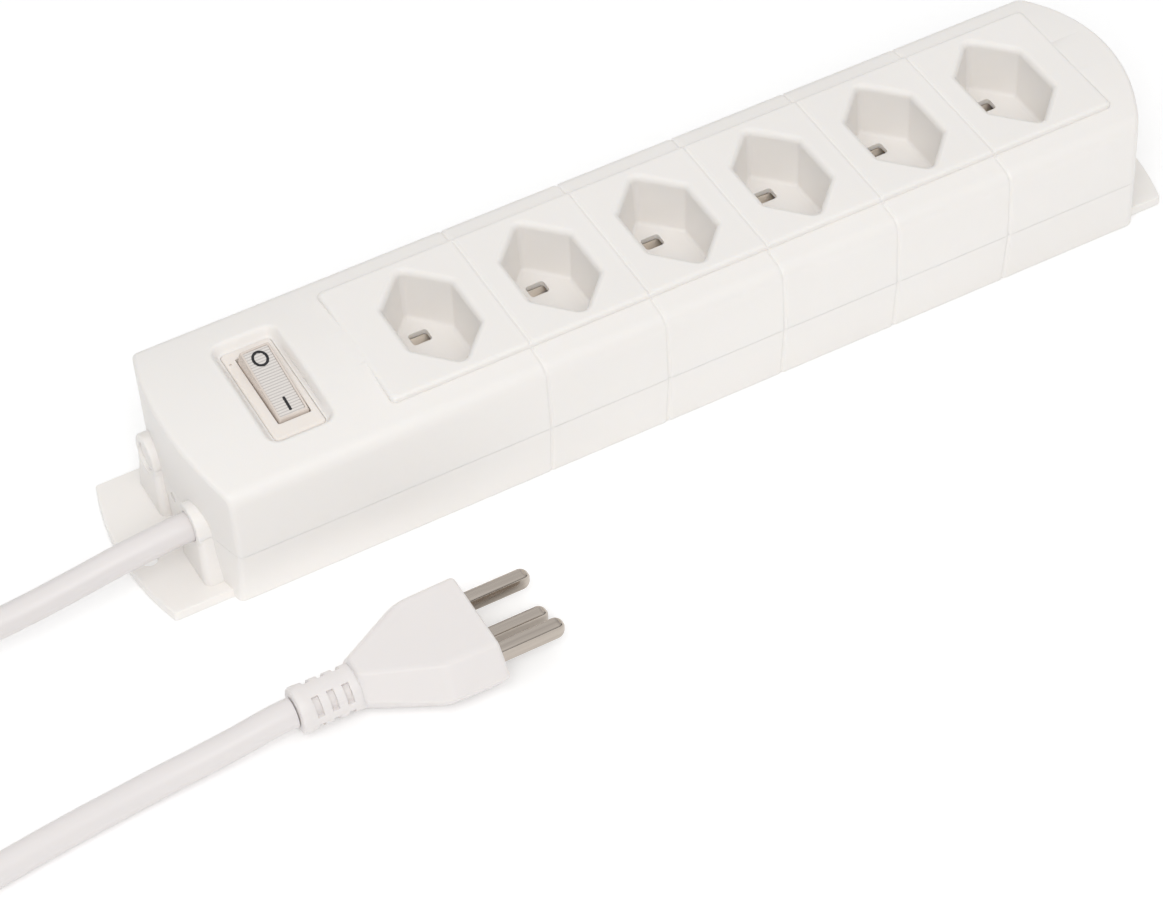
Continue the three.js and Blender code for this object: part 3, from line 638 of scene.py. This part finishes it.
def make_cover():
    seam = SEAM_Z + SEAM_LINE / 2
    cover = cover_shell("top_cover_skin", 0, seam)
    panel_outline = rectangle(
        (PANEL_X[1] - PANEL_X[0]) / 2, PANEL_HALF_WIDTH, (PANEL_X[0] + PANEL_X[1]) / 2, 0
    )
    pad_rings = [level_ring(rounded(grown(panel_outline, 0.5), 1.6), z) for z in (38, 41)]
    for k in range(5):
        a = math.radians(90) * k / 4
        ring = rounded(grown(panel_outline, 0.5 - 1.2 * (1 - math.cos(a))), 1.5)
        pad_rings.append(level_ring(ring, PANEL_Z - 1.1 + 1.1 * math.sin(a)))
    join_to(cover, loft("pad", pad_rings))
    cut_from(cover, cover_shell("hollow", WALL, seam - 4, INNER_EDGE))
    inner = []
    for x in OUTLETS:
        cup = rounded(grown(well_outline(x), WELL_WALL), 2)
        inner.append(prism("cup", cup, WELL_FLOOR_Z - WELL_WALL, 40.3))
    for x, y in screw_places():
        inner.append(rod("pillar", PILLAR_R, (x, y, 6.9), (x, y, 39.5)))
    inner.append(block("seat", (SWITCH_X - 11.8, SWITCH_X + 11.8), (-22, 22), (35.1, 39.8)))
    for y in (-COLLAR_Y, COLLAR_Y):
        ring = collar(y)
        cut_from(ring, block("below", *CORD_END, (-10, seam)))
        inner.append(ring)
    join_to(cover, *inner)
    cutters = []
    for x in OUTLETS:
        well = flared_cut(
            "well",
            well_outline(x),
            corner=1.8,
            floor=WELL_FLOOR_Z,
            top=PANEL_Z,
            rim=1.9,
            floor_round=1.2,
            draft=0.4,
        )
        cutters.append(well)
        for px, py in pin_places(x):
            slot = rounded(rectangle(*SLOT_HALF, px, py), 0.9, 4)
            cutters.append(prism("slot", slot, WELL_FLOOR_Z - 3, WELL_FLOOR_Z + 1))
    for x, y in screw_places():
        cutters.append(rod("pilot", PILOT_R, (x, y, 0), (x, y, SEAM_Z + 4), 20))
    cutters.append(pocket_cut())
    cutters.append(
        block("window", (SWITCH_X - 6.3, SWITCH_X + 6.3), (-15.3, 15.3), (20, SWITCH_HIGH.z))
    )
    for y in (-COLLAR_Y, COLLAR_Y):
        cutters.append(bore_cut(y))
    for x in GROOVES:
        cutters.append(cover_groove_cut(x))
    cut_from(cover, *cutters)
    return shade(cover)


cover = make_cover()


def tab(toward):
    """A mounting tab with a bowed end and its screw slot."""
    half, reach = TAB["half_width"], TAB["reach"]
    r = (half**2 + TAB["bulge"] ** 2) / (2 * TAB["bulge"])
    outline = []
    for k in range(13):
        a = math.asin(half / r) * (2 * k / 12 - 1)
        outline.append((toward * (reach - r + r * math.cos(a)), toward * r * math.sin(a)))
    inner_x = toward * TAB["inner_x"]
    outline += [(inner_x, toward * half), (inner_x, -toward * half)]
    plate = soft_block("tab", outline, 0, TAB["thickness"], 0.4, 0.8, 2)
    half_x, half_y = TAB_SLOT["half"]
    slot = rectangle(half_x, half_y, toward * TAB_SLOT["x"], TAB_SLOT["y"])
    slot = rounded(slot, half_x - 0.01, 8)
    return cut_from(plate, prism("slot", slot, -1, TAB["thickness"] + 1))


def pedestal(y, seam):
    """The column from the tab up to a collar."""
    inner_x = -129
    rings = []
    for z, half, x in (
        (0, 8.8, -139.9),
        (6, 7.9, -139.6),
        (12, 7.0, -139.3),
        (seam, COLLAR_R, COLLAR_X),
    ):
        outline = [(x, y - half), (inner_x, y - half), (inner_x, y + half), (x, y + half)]
        rings.append(level_ring(rounded(outline, 2.2, 6), z))
    return loft("pedestal", rings)


def make_base():
    seam = SEAM_Z - SEAM_LINE / 2
    base = base_shell("base_shell", 0, 0, seam)
    cut_from(base, base_shell("hollow", WALL, FLOOR, 40, INNER_EDGE))
    adders = [tab(-1), tab(1)]
    for y in (-COLLAR_Y, COLLAR_Y):
        adders.append(pedestal(y, seam))
        ring = collar(y)
        cut_from(ring, block("above", *CORD_END, (seam, 60)))
        adders.append(ring)
    inner = base_shell("lip", 1.2, seam - 2, seam + 0.01, INNER_EDGE)
    cut_from(inner, base_shell("inside", WALL + 1.7, seam - 5, seam + 5, INNER_EDGE))
    adders.append(inner)
    adders.append(cover_lip(seam))
    join_to(base, *adders)
    bosses = [rod("boss", BOSS_R, (x, y, 1), (x, y, 6.5)) for x, y in screw_places()]
    join_to(base, *bosses)
    cutters = []
    for y in (-COLLAR_Y, COLLAR_Y):
        cutters.append(bore_cut(y))
    cutters.append(rod("vent", VENT_R, (COLLAR_X - 2, 1, 14.5), (COLLAR_X + 9, 1, 14.5), 20))
    for x, y in screw_places():
        cutters.append(rod("head", HEAD_R, (x, y, -1), (x, y, 3.4)))
        cutters.append(rod("shank", PILOT_R, (x, y, 2), (x, y, 8), 20))
    for x in GROOVES:
        cutters += [base_groove_cut(x, side) for side in (-1, 1)]
    cut_from(base, *cutters)
    return shade(base)


def cover_lip(seam):
    """The base's thin rim that stands inside the cover."""
    rim = cover_shell("rim", WALL + LIP_GAP, seam - 2, INNER_EDGE)
    cut_from(rim, cover_shell("inside", WALL + LIP_GAP + RIM_THICKNESS, seam - 5, INNER_EDGE))
    cut_from(rim, block("above", (-170, 170), (-40, 40), (seam + 2, 60)))
    for y in (-COLLAR_Y, COLLAR_Y):
        ends = (COLLAR_X - 2, y, SEAM_Z), (COLLAR_X + 10, y, SEAM_Z)
        cut_from(rim, rod("clear", COLLAR_R + RIM_CLEARANCE, *ends, 48))
    for x, y in screw_places():
        cut_from(rim, rod("clear", PILLAR_R + RIM_CLEARANCE, (x, y, 0), (x, y, 60)))
    return rim


base = make_base()

# ---- Switch --------------------------------------------------------------------------------------

OPENING_HALF = (4.65, 13.5)
OPENING_SHIFT = (0.55, 0.95)
PIVOT_Z = 35.5
TILT = math.radians(9)
ROCKER_SHIFT = (0.65, 1.0)
LENS_HALF = (3.5, 11.3)
RIB_PITCH = 0.9
LENS_TOP = 5.9
ROCKER_TOP = 6.1
OFF_MARK_Y, ON_MARK_Y = 9.1, -6.9


def tilted(target):
    """Turns a piece made level about the rocker's pivot into its place."""
    turn = Matrix.Translation((SWITCH_X * MM, 0, PIVOT_Z * MM)) @ Matrix.Rotation(TILT, 4, "X")
    target.data.transform(turn)
    return target


def make_bezel():
    top = SWITCH_HIGH.z
    outline = rectangle(*BEZEL_HALF, SWITCH_X)
    bezel = soft_block("switch_bezel", outline, top - 1.8, top, 0.8, 1.3)
    join_to(bezel, block("can", (SWITCH_X - 6, SWITCH_X + 6), (-15, 15), (SWITCH_LOW.z, top - 1)))
    opening = rectangle(*OPENING_HALF, SWITCH_X + OPENING_SHIFT[0], OPENING_SHIFT[1])
    floor = SWITCH_LOW.z + 1.4
    cut_from(bezel, flared_cut("opening", opening, 0.5, floor, top, rim=0.2, floor_round=0.2))
    mark_x, mark_y = SWITCH_X - 5.9, 13.2
    cut_from(bezel, rod("mark", 0.35, (mark_x, mark_y, top - 0.5), (mark_x, mark_y, top + 1), 12))
    return shade(bezel)


def make_rocker():
    rings = []
    top = ROCKER_TOP
    for z, left, right, half_y, corner in (
        (-0.5, 4.5, 4.5, 12.2, 0.4),
        (2.4, 4.5, 4.5, 12.5, 0.5),
        (4.8, 4.25, 4.45, 12.4, 0.6),
        (5.7, 4.1, 4.35, 12.2, 0.6),
        (top, 3.9, 4.15, 11.95, 0.6),
    ):
        middle = ROCKER_SHIFT[0] - 0.1 + (right - left) / 2
        outline = rectangle((left + right) / 2, half_y, middle, ROCKER_SHIFT[1])
        rings.append(level_ring(rounded(outline, corner), z))
    rocker = loft("switch_rocker_shell", rings)
    seat = rounded(rectangle(LENS_HALF[0] + 0.05, LENS_HALF[1] + 0.05, *ROCKER_SHIFT), 0.4)
    cut_from(rocker, prism("seat", seat, top - 1.3, top + 1))
    for side in (-1, 1):
        middle_y = ROCKER_SHIFT[1] + side * 6.6
        cut_from(rocker, block("bay", (-2.8, 3.9), (middle_y - 4.6, middle_y + 4.6), (-2, 3.2)))
    stem_end = 27.3 - PIVOT_Z
    for x in (-2.2, 2.2):
        join_to(rocker, block("stem", (x - 1, x + 1), (-1, 1), (stem_end, 0.5)))
    join_to(rocker, rod("trunnion", 1, (-5.7, 0, 0), (5.7, 0, 0), 24))
    shade(rocker)
    return tilted(rocker)


def make_lens():
    """A clear window with fine ribs across it."""
    half_x, half_y = LENS_HALF
    top = LENS_TOP
    line = [(-half_y, top - 0.9), (-half_y, top)]
    for k in range(int(2 * half_y / RIB_PITCH)):
        y = -half_y + RIB_PITCH * (k + 0.5)
        line += [(y - 0.2, top), (y, top - 0.16), (y + 0.2, top)]
    line += [(half_y, top), (half_y, top - 0.9)]
    rings = []
    for x in (-half_x, half_x):
        rings.append([(x + ROCKER_SHIFT[0], y + ROCKER_SHIFT[1], z) for y, z in line])
    return tilted(loft("switch_lens_window", rings))


def oval(half_x, half_y):
    turns = [2 * math.pi * k / 48 for k in range(48)]
    cx = ROCKER_SHIFT[0]
    return [(cx + half_x * math.cos(a), OFF_MARK_Y + half_y * math.sin(a)) for a in turns]


def make_marks():
    """The ring and the bar printed on the rocker."""
    z0, z1 = LENS_TOP - 0.2, LENS_TOP + 0.06
    ring = prism("switch_off_mark", oval(2.22, 2.62), z0, z1)
    cut_from(ring, prism("middle", oval(1.5, 1.9), z0 - 1, z1 + 1))
    bar_outline = rounded(rectangle(0.36, 2.35, ROCKER_SHIFT[0], ON_MARK_Y), 0.3, 6)
    bar = prism("switch_on_mark", bar_outline, z0, z1)
    return [tilted(shade(ring)), tilted(shade(bar))]


bezel = make_bezel()
rocker = make_rocker()
lens = make_lens()
marks = make_marks()

# ---- Plug ----------------------------------------------------------------------------------------

PLUG_Y = (PLUG_LOW.y + PLUG_HIGH.y) / 2
PLUG_Z = (PLUG_LOW.z + PLUG_HIGH.z) / 2
RELIEF_Z = (RELIEF_LOW.z + RELIEF_HIGH.z) / 2
RELIEF_R = 6.2
WINDOWS = {"first": 4.0, "pitch": 4.15, "length": 1.9, "half_turn": 27, "floor_r": 4.7}
WINDOW_ANGLES = (39, 141, 219, 321)


def make_plug():
    front, back = PLUG_HIGH.x, PLUG_LOW.x
    tip = (PLUG_HIGH.y - PLUG_LOW.y) / 2
    half = (PLUG_HIGH.z - PLUG_LOW.z) / 2
    sections = (
        (front, tip, 12.7, half, half),
        (front - 15.6, tip, 12.3, half, half),
        (back, 7.6, 2.9, half - 1.2, half - 0.9),
    )
    rings = []
    for x, wide, flat, up, down in sections:
        ring = [(-wide, 0), (-flat, -down), (flat, -down), (wide, 0), (flat, up), (-flat, up)]
        rings.append([(x, PLUG_Y + y, PLUG_Z + z) for y, z in ring])
    body = loft("plug_shell", rings)
    soften(body, 1.3, 4, 12)
    ends = (back - 0.1, PLUG_Y, RELIEF_Z), (back + 9, PLUG_Y, RELIEF_Z)
    join_to(body, rod("stub", [(0, RELIEF_R), (5.5, RELIEF_R), (7.5, 5.4), (9, 3.5)], *ends, 48))
    return shade(body, 28)


def make_relief():
    """A straight sleeve with windows round it."""
    start, stop = RELIEF_LOW.x, PLUG_LOW.x + 0.2
    length = stop - start
    profile = [
        (0, 5.2),
        (0.25, 5.95),
        (0.8, 6.3),
        (2.2, 6.35),
        (2.9, 6.2),
        (length * 0.5, 6.1),
        (length - 2, 6.15),
        (length, RELIEF_R),
    ]
    ends = (start, PLUG_Y, RELIEF_Z), (stop, PLUG_Y, RELIEF_Z)
    relief = rod("plug_strain_relief_sleeve", profile, *ends, 64)
    windows = []
    for middle in WINDOW_ANGLES:
        for k in range(3):
            x = start + WINDOWS["first"] + WINDOWS["pitch"] * k
            outline = []
            for r, sweep in ((WINDOWS["floor_r"], 1), (9, -1)):
                for step in range(-4, 5):
                    t = math.radians(middle + sweep * step * WINDOWS["half_turn"] / 4)
                    outline.append((r * math.cos(t), r * math.sin(t)))
            rings = []
            for at in (x, x + WINDOWS["length"]):
                rings.append([(at, PLUG_Y + y, RELIEF_Z + z) for y, z in outline])
            windows.append(loft("window", rings))
    cut_from(relief, *windows)
    soften(relief, 0.3, 2, 40)
    return shade(relief)


def make_pins():
    pins = []
    for pole in ("live", "neutral", "earth"):
        low, high = box_mm(f"plug_pin_{pole}")
        y, z = (low.y + high.y) / 2, (low.z + high.z) / 2
        rings = []
        steps = (
            (low.x, 0, 0.85),
            (high.x - 2.2, 0, 0.85),
            (high.x - 1.5, 0.12, 0.85),
            (high.x - 0.8, 0.45, 0.85),
            (high.x - 0.25, 0.95, 0.8),
            (high.x, 1.45, 0.4),
        )
        for x, inset, corner in steps:
            section = rectangle(1.9 - inset * 0.8, 2.4 - inset, y, z)
            rings.append([(x, a, b) for a, b in rounded(section, min(corner, 1.9 - inset) * 0.9)])
        pins.append(shade(loft(f"pin_{pole}", rings), 24))
    return pins


plug = make_plug()
relief = make_relief()
pins = make_pins()


def make_tie():
    """A flat strap in a closed loop round the coil."""
    low, high = box_mm("coil_tie")
    section = [(low.x, low.z), (high.x, low.z), (high.x, high.z), (low.x, high.z)]
    outer = rounded(section, 4, 8)
    inner = rounded(grown(section, -1.2), 2.8, 8)
    n = len(outer)
    verts, faces = [], []
    for line, at in ((outer, low.y), (outer, high.y), (inner, high.y), (inner, low.y)):
        verts += [(x, at, z) for x, z in line]
    for k in range(4):
        m = (k + 1) % 4
        for i in range(n):
            j = (i + 1) % n
            faces.append((k * n + i, k * n + j, m * n + j, m * n + i))
    return shade(solid("tie_strap", verts, faces))


tie = make_tie()


def make_blank():
    low, high = box_mm("spare_outlet_blank")
    y, z = (low.y + high.y) / 2, (low.z + high.z) / 2
    profile = [(0, 3.75), (0.12, 3.95), (0.35, 4.08), (high.x - low.x, 4.08)]
    return shade(rod("collar_blank", profile, (low.x, y, z), (high.x, y, z), 48))


blank = make_blank()

# ---- Materials -----------------------------------------------------------------------------------


def node_material(name):
    material = bpy.data.materials.new(name)
    material.use_nodes = True
    nodes = material.node_tree.nodes
    return material, nodes, material.node_tree.links, nodes["Principled BSDF"]


def object_place(nodes, links, stretch=(1, 1, 1)):
    coordinates = nodes.new("ShaderNodeTexCoord")
    mapping = nodes.new("ShaderNodeMapping")
    mapping.inputs["Scale"].default_value = stretch
    links.new(coordinates.outputs["Object"], mapping.inputs["Vector"])
    return mapping.outputs["Vector"]


def noise(nodes, links, vector, scale, detail=2.0, roughness=0.5):
    made = nodes.new("ShaderNodeTexNoise")
    made.inputs["Scale"].default_value = scale
    made.inputs["Detail"].default_value = detail
    made.inputs["Roughness"].default_value = roughness
    links.new(vector, made.inputs["Vector"])
    return made.outputs["Fac"]


def ramp(nodes, links, factor, stops):
    made = nodes.new("ShaderNodeValToRGB")
    for k, (at, color) in enumerate(stops):
        element = made.color_ramp.elements[k] if k < 2 else made.color_ramp.elements.new(at)
        element.position = at
        element.color = (*color, 1)
    links.new(factor, made.inputs["Fac"])
    return made.outputs["Color"]


def spread(nodes, links, factor, low, high):
    made = nodes.new("ShaderNodeMapRange")
    made.inputs["From Min"].default_value = 0.3
    made.inputs["From Max"].default_value = 0.7
    made.inputs["To Min"].default_value = low
    made.inputs["To Max"].default_value = high
    links.new(factor, made.inputs["Value"])
    return made.outputs["Result"]


def bump(nodes, links, height, shader, strength, distance):
    made = nodes.new("ShaderNodeBump")
    made.inputs["Strength"].default_value = strength
    made.inputs["Distance"].default_value = distance
    links.new(height, made.inputs["Height"])
    links.new(made.outputs["Normal"], shader.inputs["Normal"])


def plastic(name, light, dark, rough, grain=0.25, grain_scale=2600, wander=0.04):
    """Moulded plastic with faint clouding, a fine grain and a slightly uneven gloss."""
    material, nodes, links, shader = node_material(name)
    vector = object_place(nodes, links)
    clouds = noise(nodes, links, vector, 18, 3)
    links.new(ramp(nodes, links, clouds, [(0.3, dark), (0.7, light)]), shader.inputs["Base Color"])
    patches = noise(nodes, links, vector, 55, 2)
    gloss = spread(nodes, links, patches, rough - wander, rough + wander)
    links.new(gloss, shader.inputs["Roughness"])
    fine = noise(nodes, links, vector, grain_scale, 2)
    bump(nodes, links, fine, shader, grain, 0.00006)
    shader.inputs["Specular IOR Level"].default_value = 0.45
    shader.inputs["Subsurface Weight"].default_value = 0.25
    shader.inputs["Subsurface Radius"].default_value = (0.004, 0.0036, 0.003)
    shader.inputs["Subsurface Scale"].default_value = 0.4
    return material


def metal(name, light, dark, rough, grain=900, stretch=(0.05, 1, 1)):
    """Plated or rolled metal with drawing lines along X."""
    material, nodes, links, shader = node_material(name)
    lines = noise(nodes, links, object_place(nodes, links, stretch), grain, 3)
    links.new(ramp(nodes, links, lines, [(0.3, dark), (0.7, light)]), shader.inputs["Base Color"])
    links.new(spread(nodes, links, lines, rough - 0.05, rough + 0.07), shader.inputs["Roughness"])
    bump(nodes, links, lines, shader, 0.15, 0.00003)
    shader.inputs["Metallic"].default_value = 1
    return material


SHELL = plastic("shell_plastic", (0.90, 0.872, 0.842), (0.88, 0.852, 0.822), 0.42)
CREAM = plastic("switch_plastic", (0.865, 0.81, 0.76), (0.84, 0.785, 0.735), 0.3, 0.12)
SOFT = plastic("plug_plastic", (0.83, 0.795, 0.78), (0.815, 0.78, 0.765), 0.4, 0.2)
CORD = plastic("cord_plastic", (0.80, 0.765, 0.755), (0.79, 0.755, 0.745), 0.34, 0.06, 1800, 0.015)
INK = plastic("mark_ink", (0.012, 0.012, 0.014), (0.008, 0.008, 0.01), 0.4, 0.1)
NICKEL = metal("pin_nickel", (0.55, 0.495, 0.44), (0.46, 0.41, 0.36), 0.1)
TINNED = metal("contact_tinned", (0.90, 0.82, 0.73), (0.82, 0.74, 0.65), 0.4)
BRASS = metal("strip_brass", (0.66, 0.47, 0.20), (0.58, 0.40, 0.16), 0.3)
COPPER = metal("contact_copper", (0.62, 0.32, 0.20), (0.52, 0.26, 0.16), 0.3)
ZINC = metal("screw_zinc", (0.56, 0.57, 0.58), (0.46, 0.47, 0.49), 0.35, 700, (1, 1, 1))
BROWN = plastic("insulation_brown", (0.18, 0.07, 0.03), (0.15, 0.055, 0.025), 0.4)
BLUE = plastic("insulation_blue", (0.03, 0.12, 0.45), (0.025, 0.1, 0.38), 0.4)


def make_smoky():
    """The rocker's tinted translucent plastic."""
    material, nodes, links, shader = node_material("rocker_smoky")
    clouds = noise(nodes, links, object_place(nodes, links), 120, 2)
    tint = ramp(nodes, links, clouds, [(0.3, (0.78, 0.69, 0.62)), (0.7, (0.84, 0.75, 0.68))])
    links.new(tint, shader.inputs["Base Color"])
    fine = noise(nodes, links, object_place(nodes, links), 1500, 2)
    bump(nodes, links, fine, shader, 0.08, 0.00004)
    links.new(spread(nodes, links, clouds, 0.16, 0.24), shader.inputs["Roughness"])
    shader.inputs["Transmission Weight"].default_value = 0.12
    shader.inputs["IOR"].default_value = 1.5
    return material


def make_clear():
    """The ribbed window: pale and glossy, with a line of painted shade in each groove."""
    material, nodes, links, shader = node_material("lens_clear")
    vector = object_place(nodes, links)
    pitch = RIB_PITCH * math.cos(TILT) * MM
    first = RIB_PITCH / 2 - LENS_HALF[1] + ROCKER_SHIFT[1]
    first_y = (first * math.cos(TILT) - LENS_TOP * math.sin(TILT)) * MM
    wave = nodes.new("ShaderNodeTexWave")
    wave.bands_direction = "Y"
    wave.inputs["Scale"].default_value = 2 * math.pi / (20 * pitch)
    wave.inputs["Phase Offset"].default_value = -2 * math.pi * first_y / pitch
    links.new(vector, wave.inputs["Vector"])
    # The dark stop is painted shade: a grey line laid along each rib groove, where shade falls.
    stops = [(0, (0.56, 0.53, 0.51)), (0.35, (0.75, 0.71, 0.675))]
    tint = ramp(nodes, links, wave.outputs["Fac"], stops)
    links.new(tint, shader.inputs["Base Color"])
    clouds = noise(nodes, links, vector, 300, 2)
    links.new(spread(nodes, links, clouds, 0.1, 0.2), shader.inputs["Roughness"])
    bump(nodes, links, clouds, shader, 0.1, 0.00005)
    shader.inputs["IOR"].default_value = 1.49
    return material


def make_striped():
    """Earth insulation, green with a yellow stripe."""
    material, nodes, links, shader = node_material("insulation_green_yellow")
    vector = object_place(nodes, links)
    wave = nodes.new("ShaderNodeTexWave")
    wave.bands_direction = "DIAGONAL"
    wave.inputs["Scale"].default_value = 120
    links.new(vector, wave.inputs["Vector"])
    stops = [(0.45, (0.06, 0.30, 0.05)), (0.55, (0.75, 0.62, 0.05))]
    tint = ramp(nodes, links, wave.outputs["Fac"], stops)
    links.new(tint, shader.inputs["Base Color"])
    bump(nodes, links, noise(nodes, links, vector, 900), shader, 0.1, 0.00004)
    shader.inputs["Roughness"].default_value = 0.4
    return material


def make_woven():
    """The tie's woven strap."""
    material, nodes, links, shader = node_material("tie_woven")
    vector = object_place(nodes, links)
    wave = nodes.new("ShaderNodeTexWave")
    wave.bands_direction = "DIAGONAL"
    wave.inputs["Scale"].default_value = 420
    wave.inputs["Distortion"].default_value = 1.5
    links.new(vector, wave.inputs["Vector"])
    stops = [(0.2, (0.66, 0.65, 0.63)), (0.8, (0.82, 0.81, 0.79))]
    tint = ramp(nodes, links, wave.outputs["Fac"], stops)
    links.new(tint, shader.inputs["Base Color"])
    bump(nodes, links, wave.outputs["Fac"], shader, 0.5, 0.0002)
    shader.inputs["Roughness"].default_value = 0.85
    return material


def make_lamp_glass():
    material, nodes, links, shader = node_material("lamp_glass")
    clouds = noise(nodes, links, object_place(nodes, links), 400, 2)
    tint = ramp(nodes, links, clouds, [(0.3, (0.85, 0.55, 0.35)), (0.7, (0.95, 0.7, 0.5))])
    links.new(tint, shader.inputs["Base Color"])
    bump(nodes, links, clouds, shader, 0.1, 0.00005)
    shader.inputs["Roughness"].default_value = 0.08
    shader.inputs["Transmission Weight"].default_value = 0.7
    return material


SMOKY = make_smoky()
CLEAR = make_clear()
STRIPED = make_striped()
WOVEN = make_woven()
LAMP = make_lamp_glass()


def dress(piece, material):
    piece.data.materials.clear()
    piece.data.materials.append(material)


CARRIED = {
    "cord_clamp_bar": CREAM,
    "cord_inner_end": CORD,
    "neon_lamp": LAMP,
    "lamp_bracket": BRASS,
    "live_busbar": TINNED,
    "neutral_busbar": TINNED,
    "earth_busbar": TINNED,
    "contact_bridge_live": COPPER,
    "contact_bridge_neutral": COPPER,
    "lead_live": BROWN,
    "link_live": BROWN,
    "lead_neutral": BLUE,
    "link_neutral": BLUE,
    "lead_earth": STRIPED,
}
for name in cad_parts:
    if "screw" in name:
        CARRIED[name] = ZINC
    if name.startswith("switch_terminal"):
        CARRIED[name] = BRASS
for name, material in CARRIED.items():
    dress(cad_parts[name], material)


def place(piece, material, slot, body, *nodes):
    dress(piece, material)
    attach(piece, body)
    if nodes:
        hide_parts(*nodes)


place(cover, SHELL, "shell_white", "body", "top_cover")
place(base, SHELL, "shell_white", "body", "base")
place(blank, SHELL, "shell_white", "body", "spare_outlet_blank")
place(bezel, CREAM, "switch_cream", "body", "switch_housing")
place(rocker, SMOKY, "rocker_translucent", "rocker", "switch_rocker")
place(lens, CLEAR, "lens_clear", "rocker", "switch_lens")
for mark in marks:
    place(mark, INK, "lens_clear", "rocker")
place(plug, SOFT, "plug_white", "body", "plug_body")
place(relief, SOFT, "plug_white", "body", "plug_strain_relief")
for pin, pole in zip(pins, ("live", "neutral", "earth")):
    place(pin, NICKEL, "nickel", "body", f"plug_pin_{pole}")
place(tie, WOVEN, "tie_fabric", "body", "coil_tie")
place(cord, CORD, "cord_white", "body", "cord_lead", "cord_coil", "cord_tail")

# ---- Stage and light -----------------------------------------------------------------------------


def make_floor():
    floor = solid("floor", level_ring(rectangle(6000, 6000), 0), [(0, 1, 2, 3)])
    material, nodes, links, shader = node_material("floor_paper")
    clouds = noise(nodes, links, object_place(nodes, links), 3, 2)
    tint = ramp(nodes, links, clouds, [(0.3, (0.96, 0.96, 0.96)), (0.7, (0.98, 0.98, 0.98))])
    links.new(tint, shader.inputs["Base Color"])
    shader.inputs["Roughness"].default_value = 0.9
    shader.inputs["Emission Color"].default_value = (1, 1, 1, 1)
    shader.inputs["Emission Strength"].default_value = 0.12
    dress(floor, material)
    floor.data.transform(Matrix.Translation((0, 0, -0.0002)))


def make_light(name, at, size, power):
    """A round lamp that faces the origin."""
    data = bpy.data.lights.new(name, "AREA")
    data.shape = "DISK"
    data.size = size
    data.energy = power
    light = bpy.data.objects.new(name, data)
    light.location = at
    light.rotation_euler = Vector(at).to_track_quat("Z", "Y").to_euler()
    bpy.context.scene.collection.objects.link(light)


def make_world():
    """A bright studio sky over a darker band at the horizon, which the metal reflects."""
    world = bpy.data.worlds.new("studio")
    world.use_nodes = True
    nodes, links = world.node_tree.nodes, world.node_tree.links
    direction = nodes.new("ShaderNodeTexCoord")
    parts = nodes.new("ShaderNodeSeparateXYZ")
    links.new(direction.outputs["Generated"], parts.inputs["Vector"])
    stops = [(0.12, (0.1, 0.1, 0.1)), (0.9, (1, 1, 1)), (0.35, (0.62, 0.62, 0.62))]
    sky = ramp(nodes, links, parts.outputs["Z"], stops)
    links.new(sky, nodes["Background"].inputs["Color"])
    nodes["Background"].inputs["Strength"].default_value = 0.9
    bpy.context.scene.world = world


make_floor()
make_world()
make_light("key", (-0.5, -1.0, 1.3), 1.2, 10)
bpy.context.scene.view_settings.view_transform = "Standard"
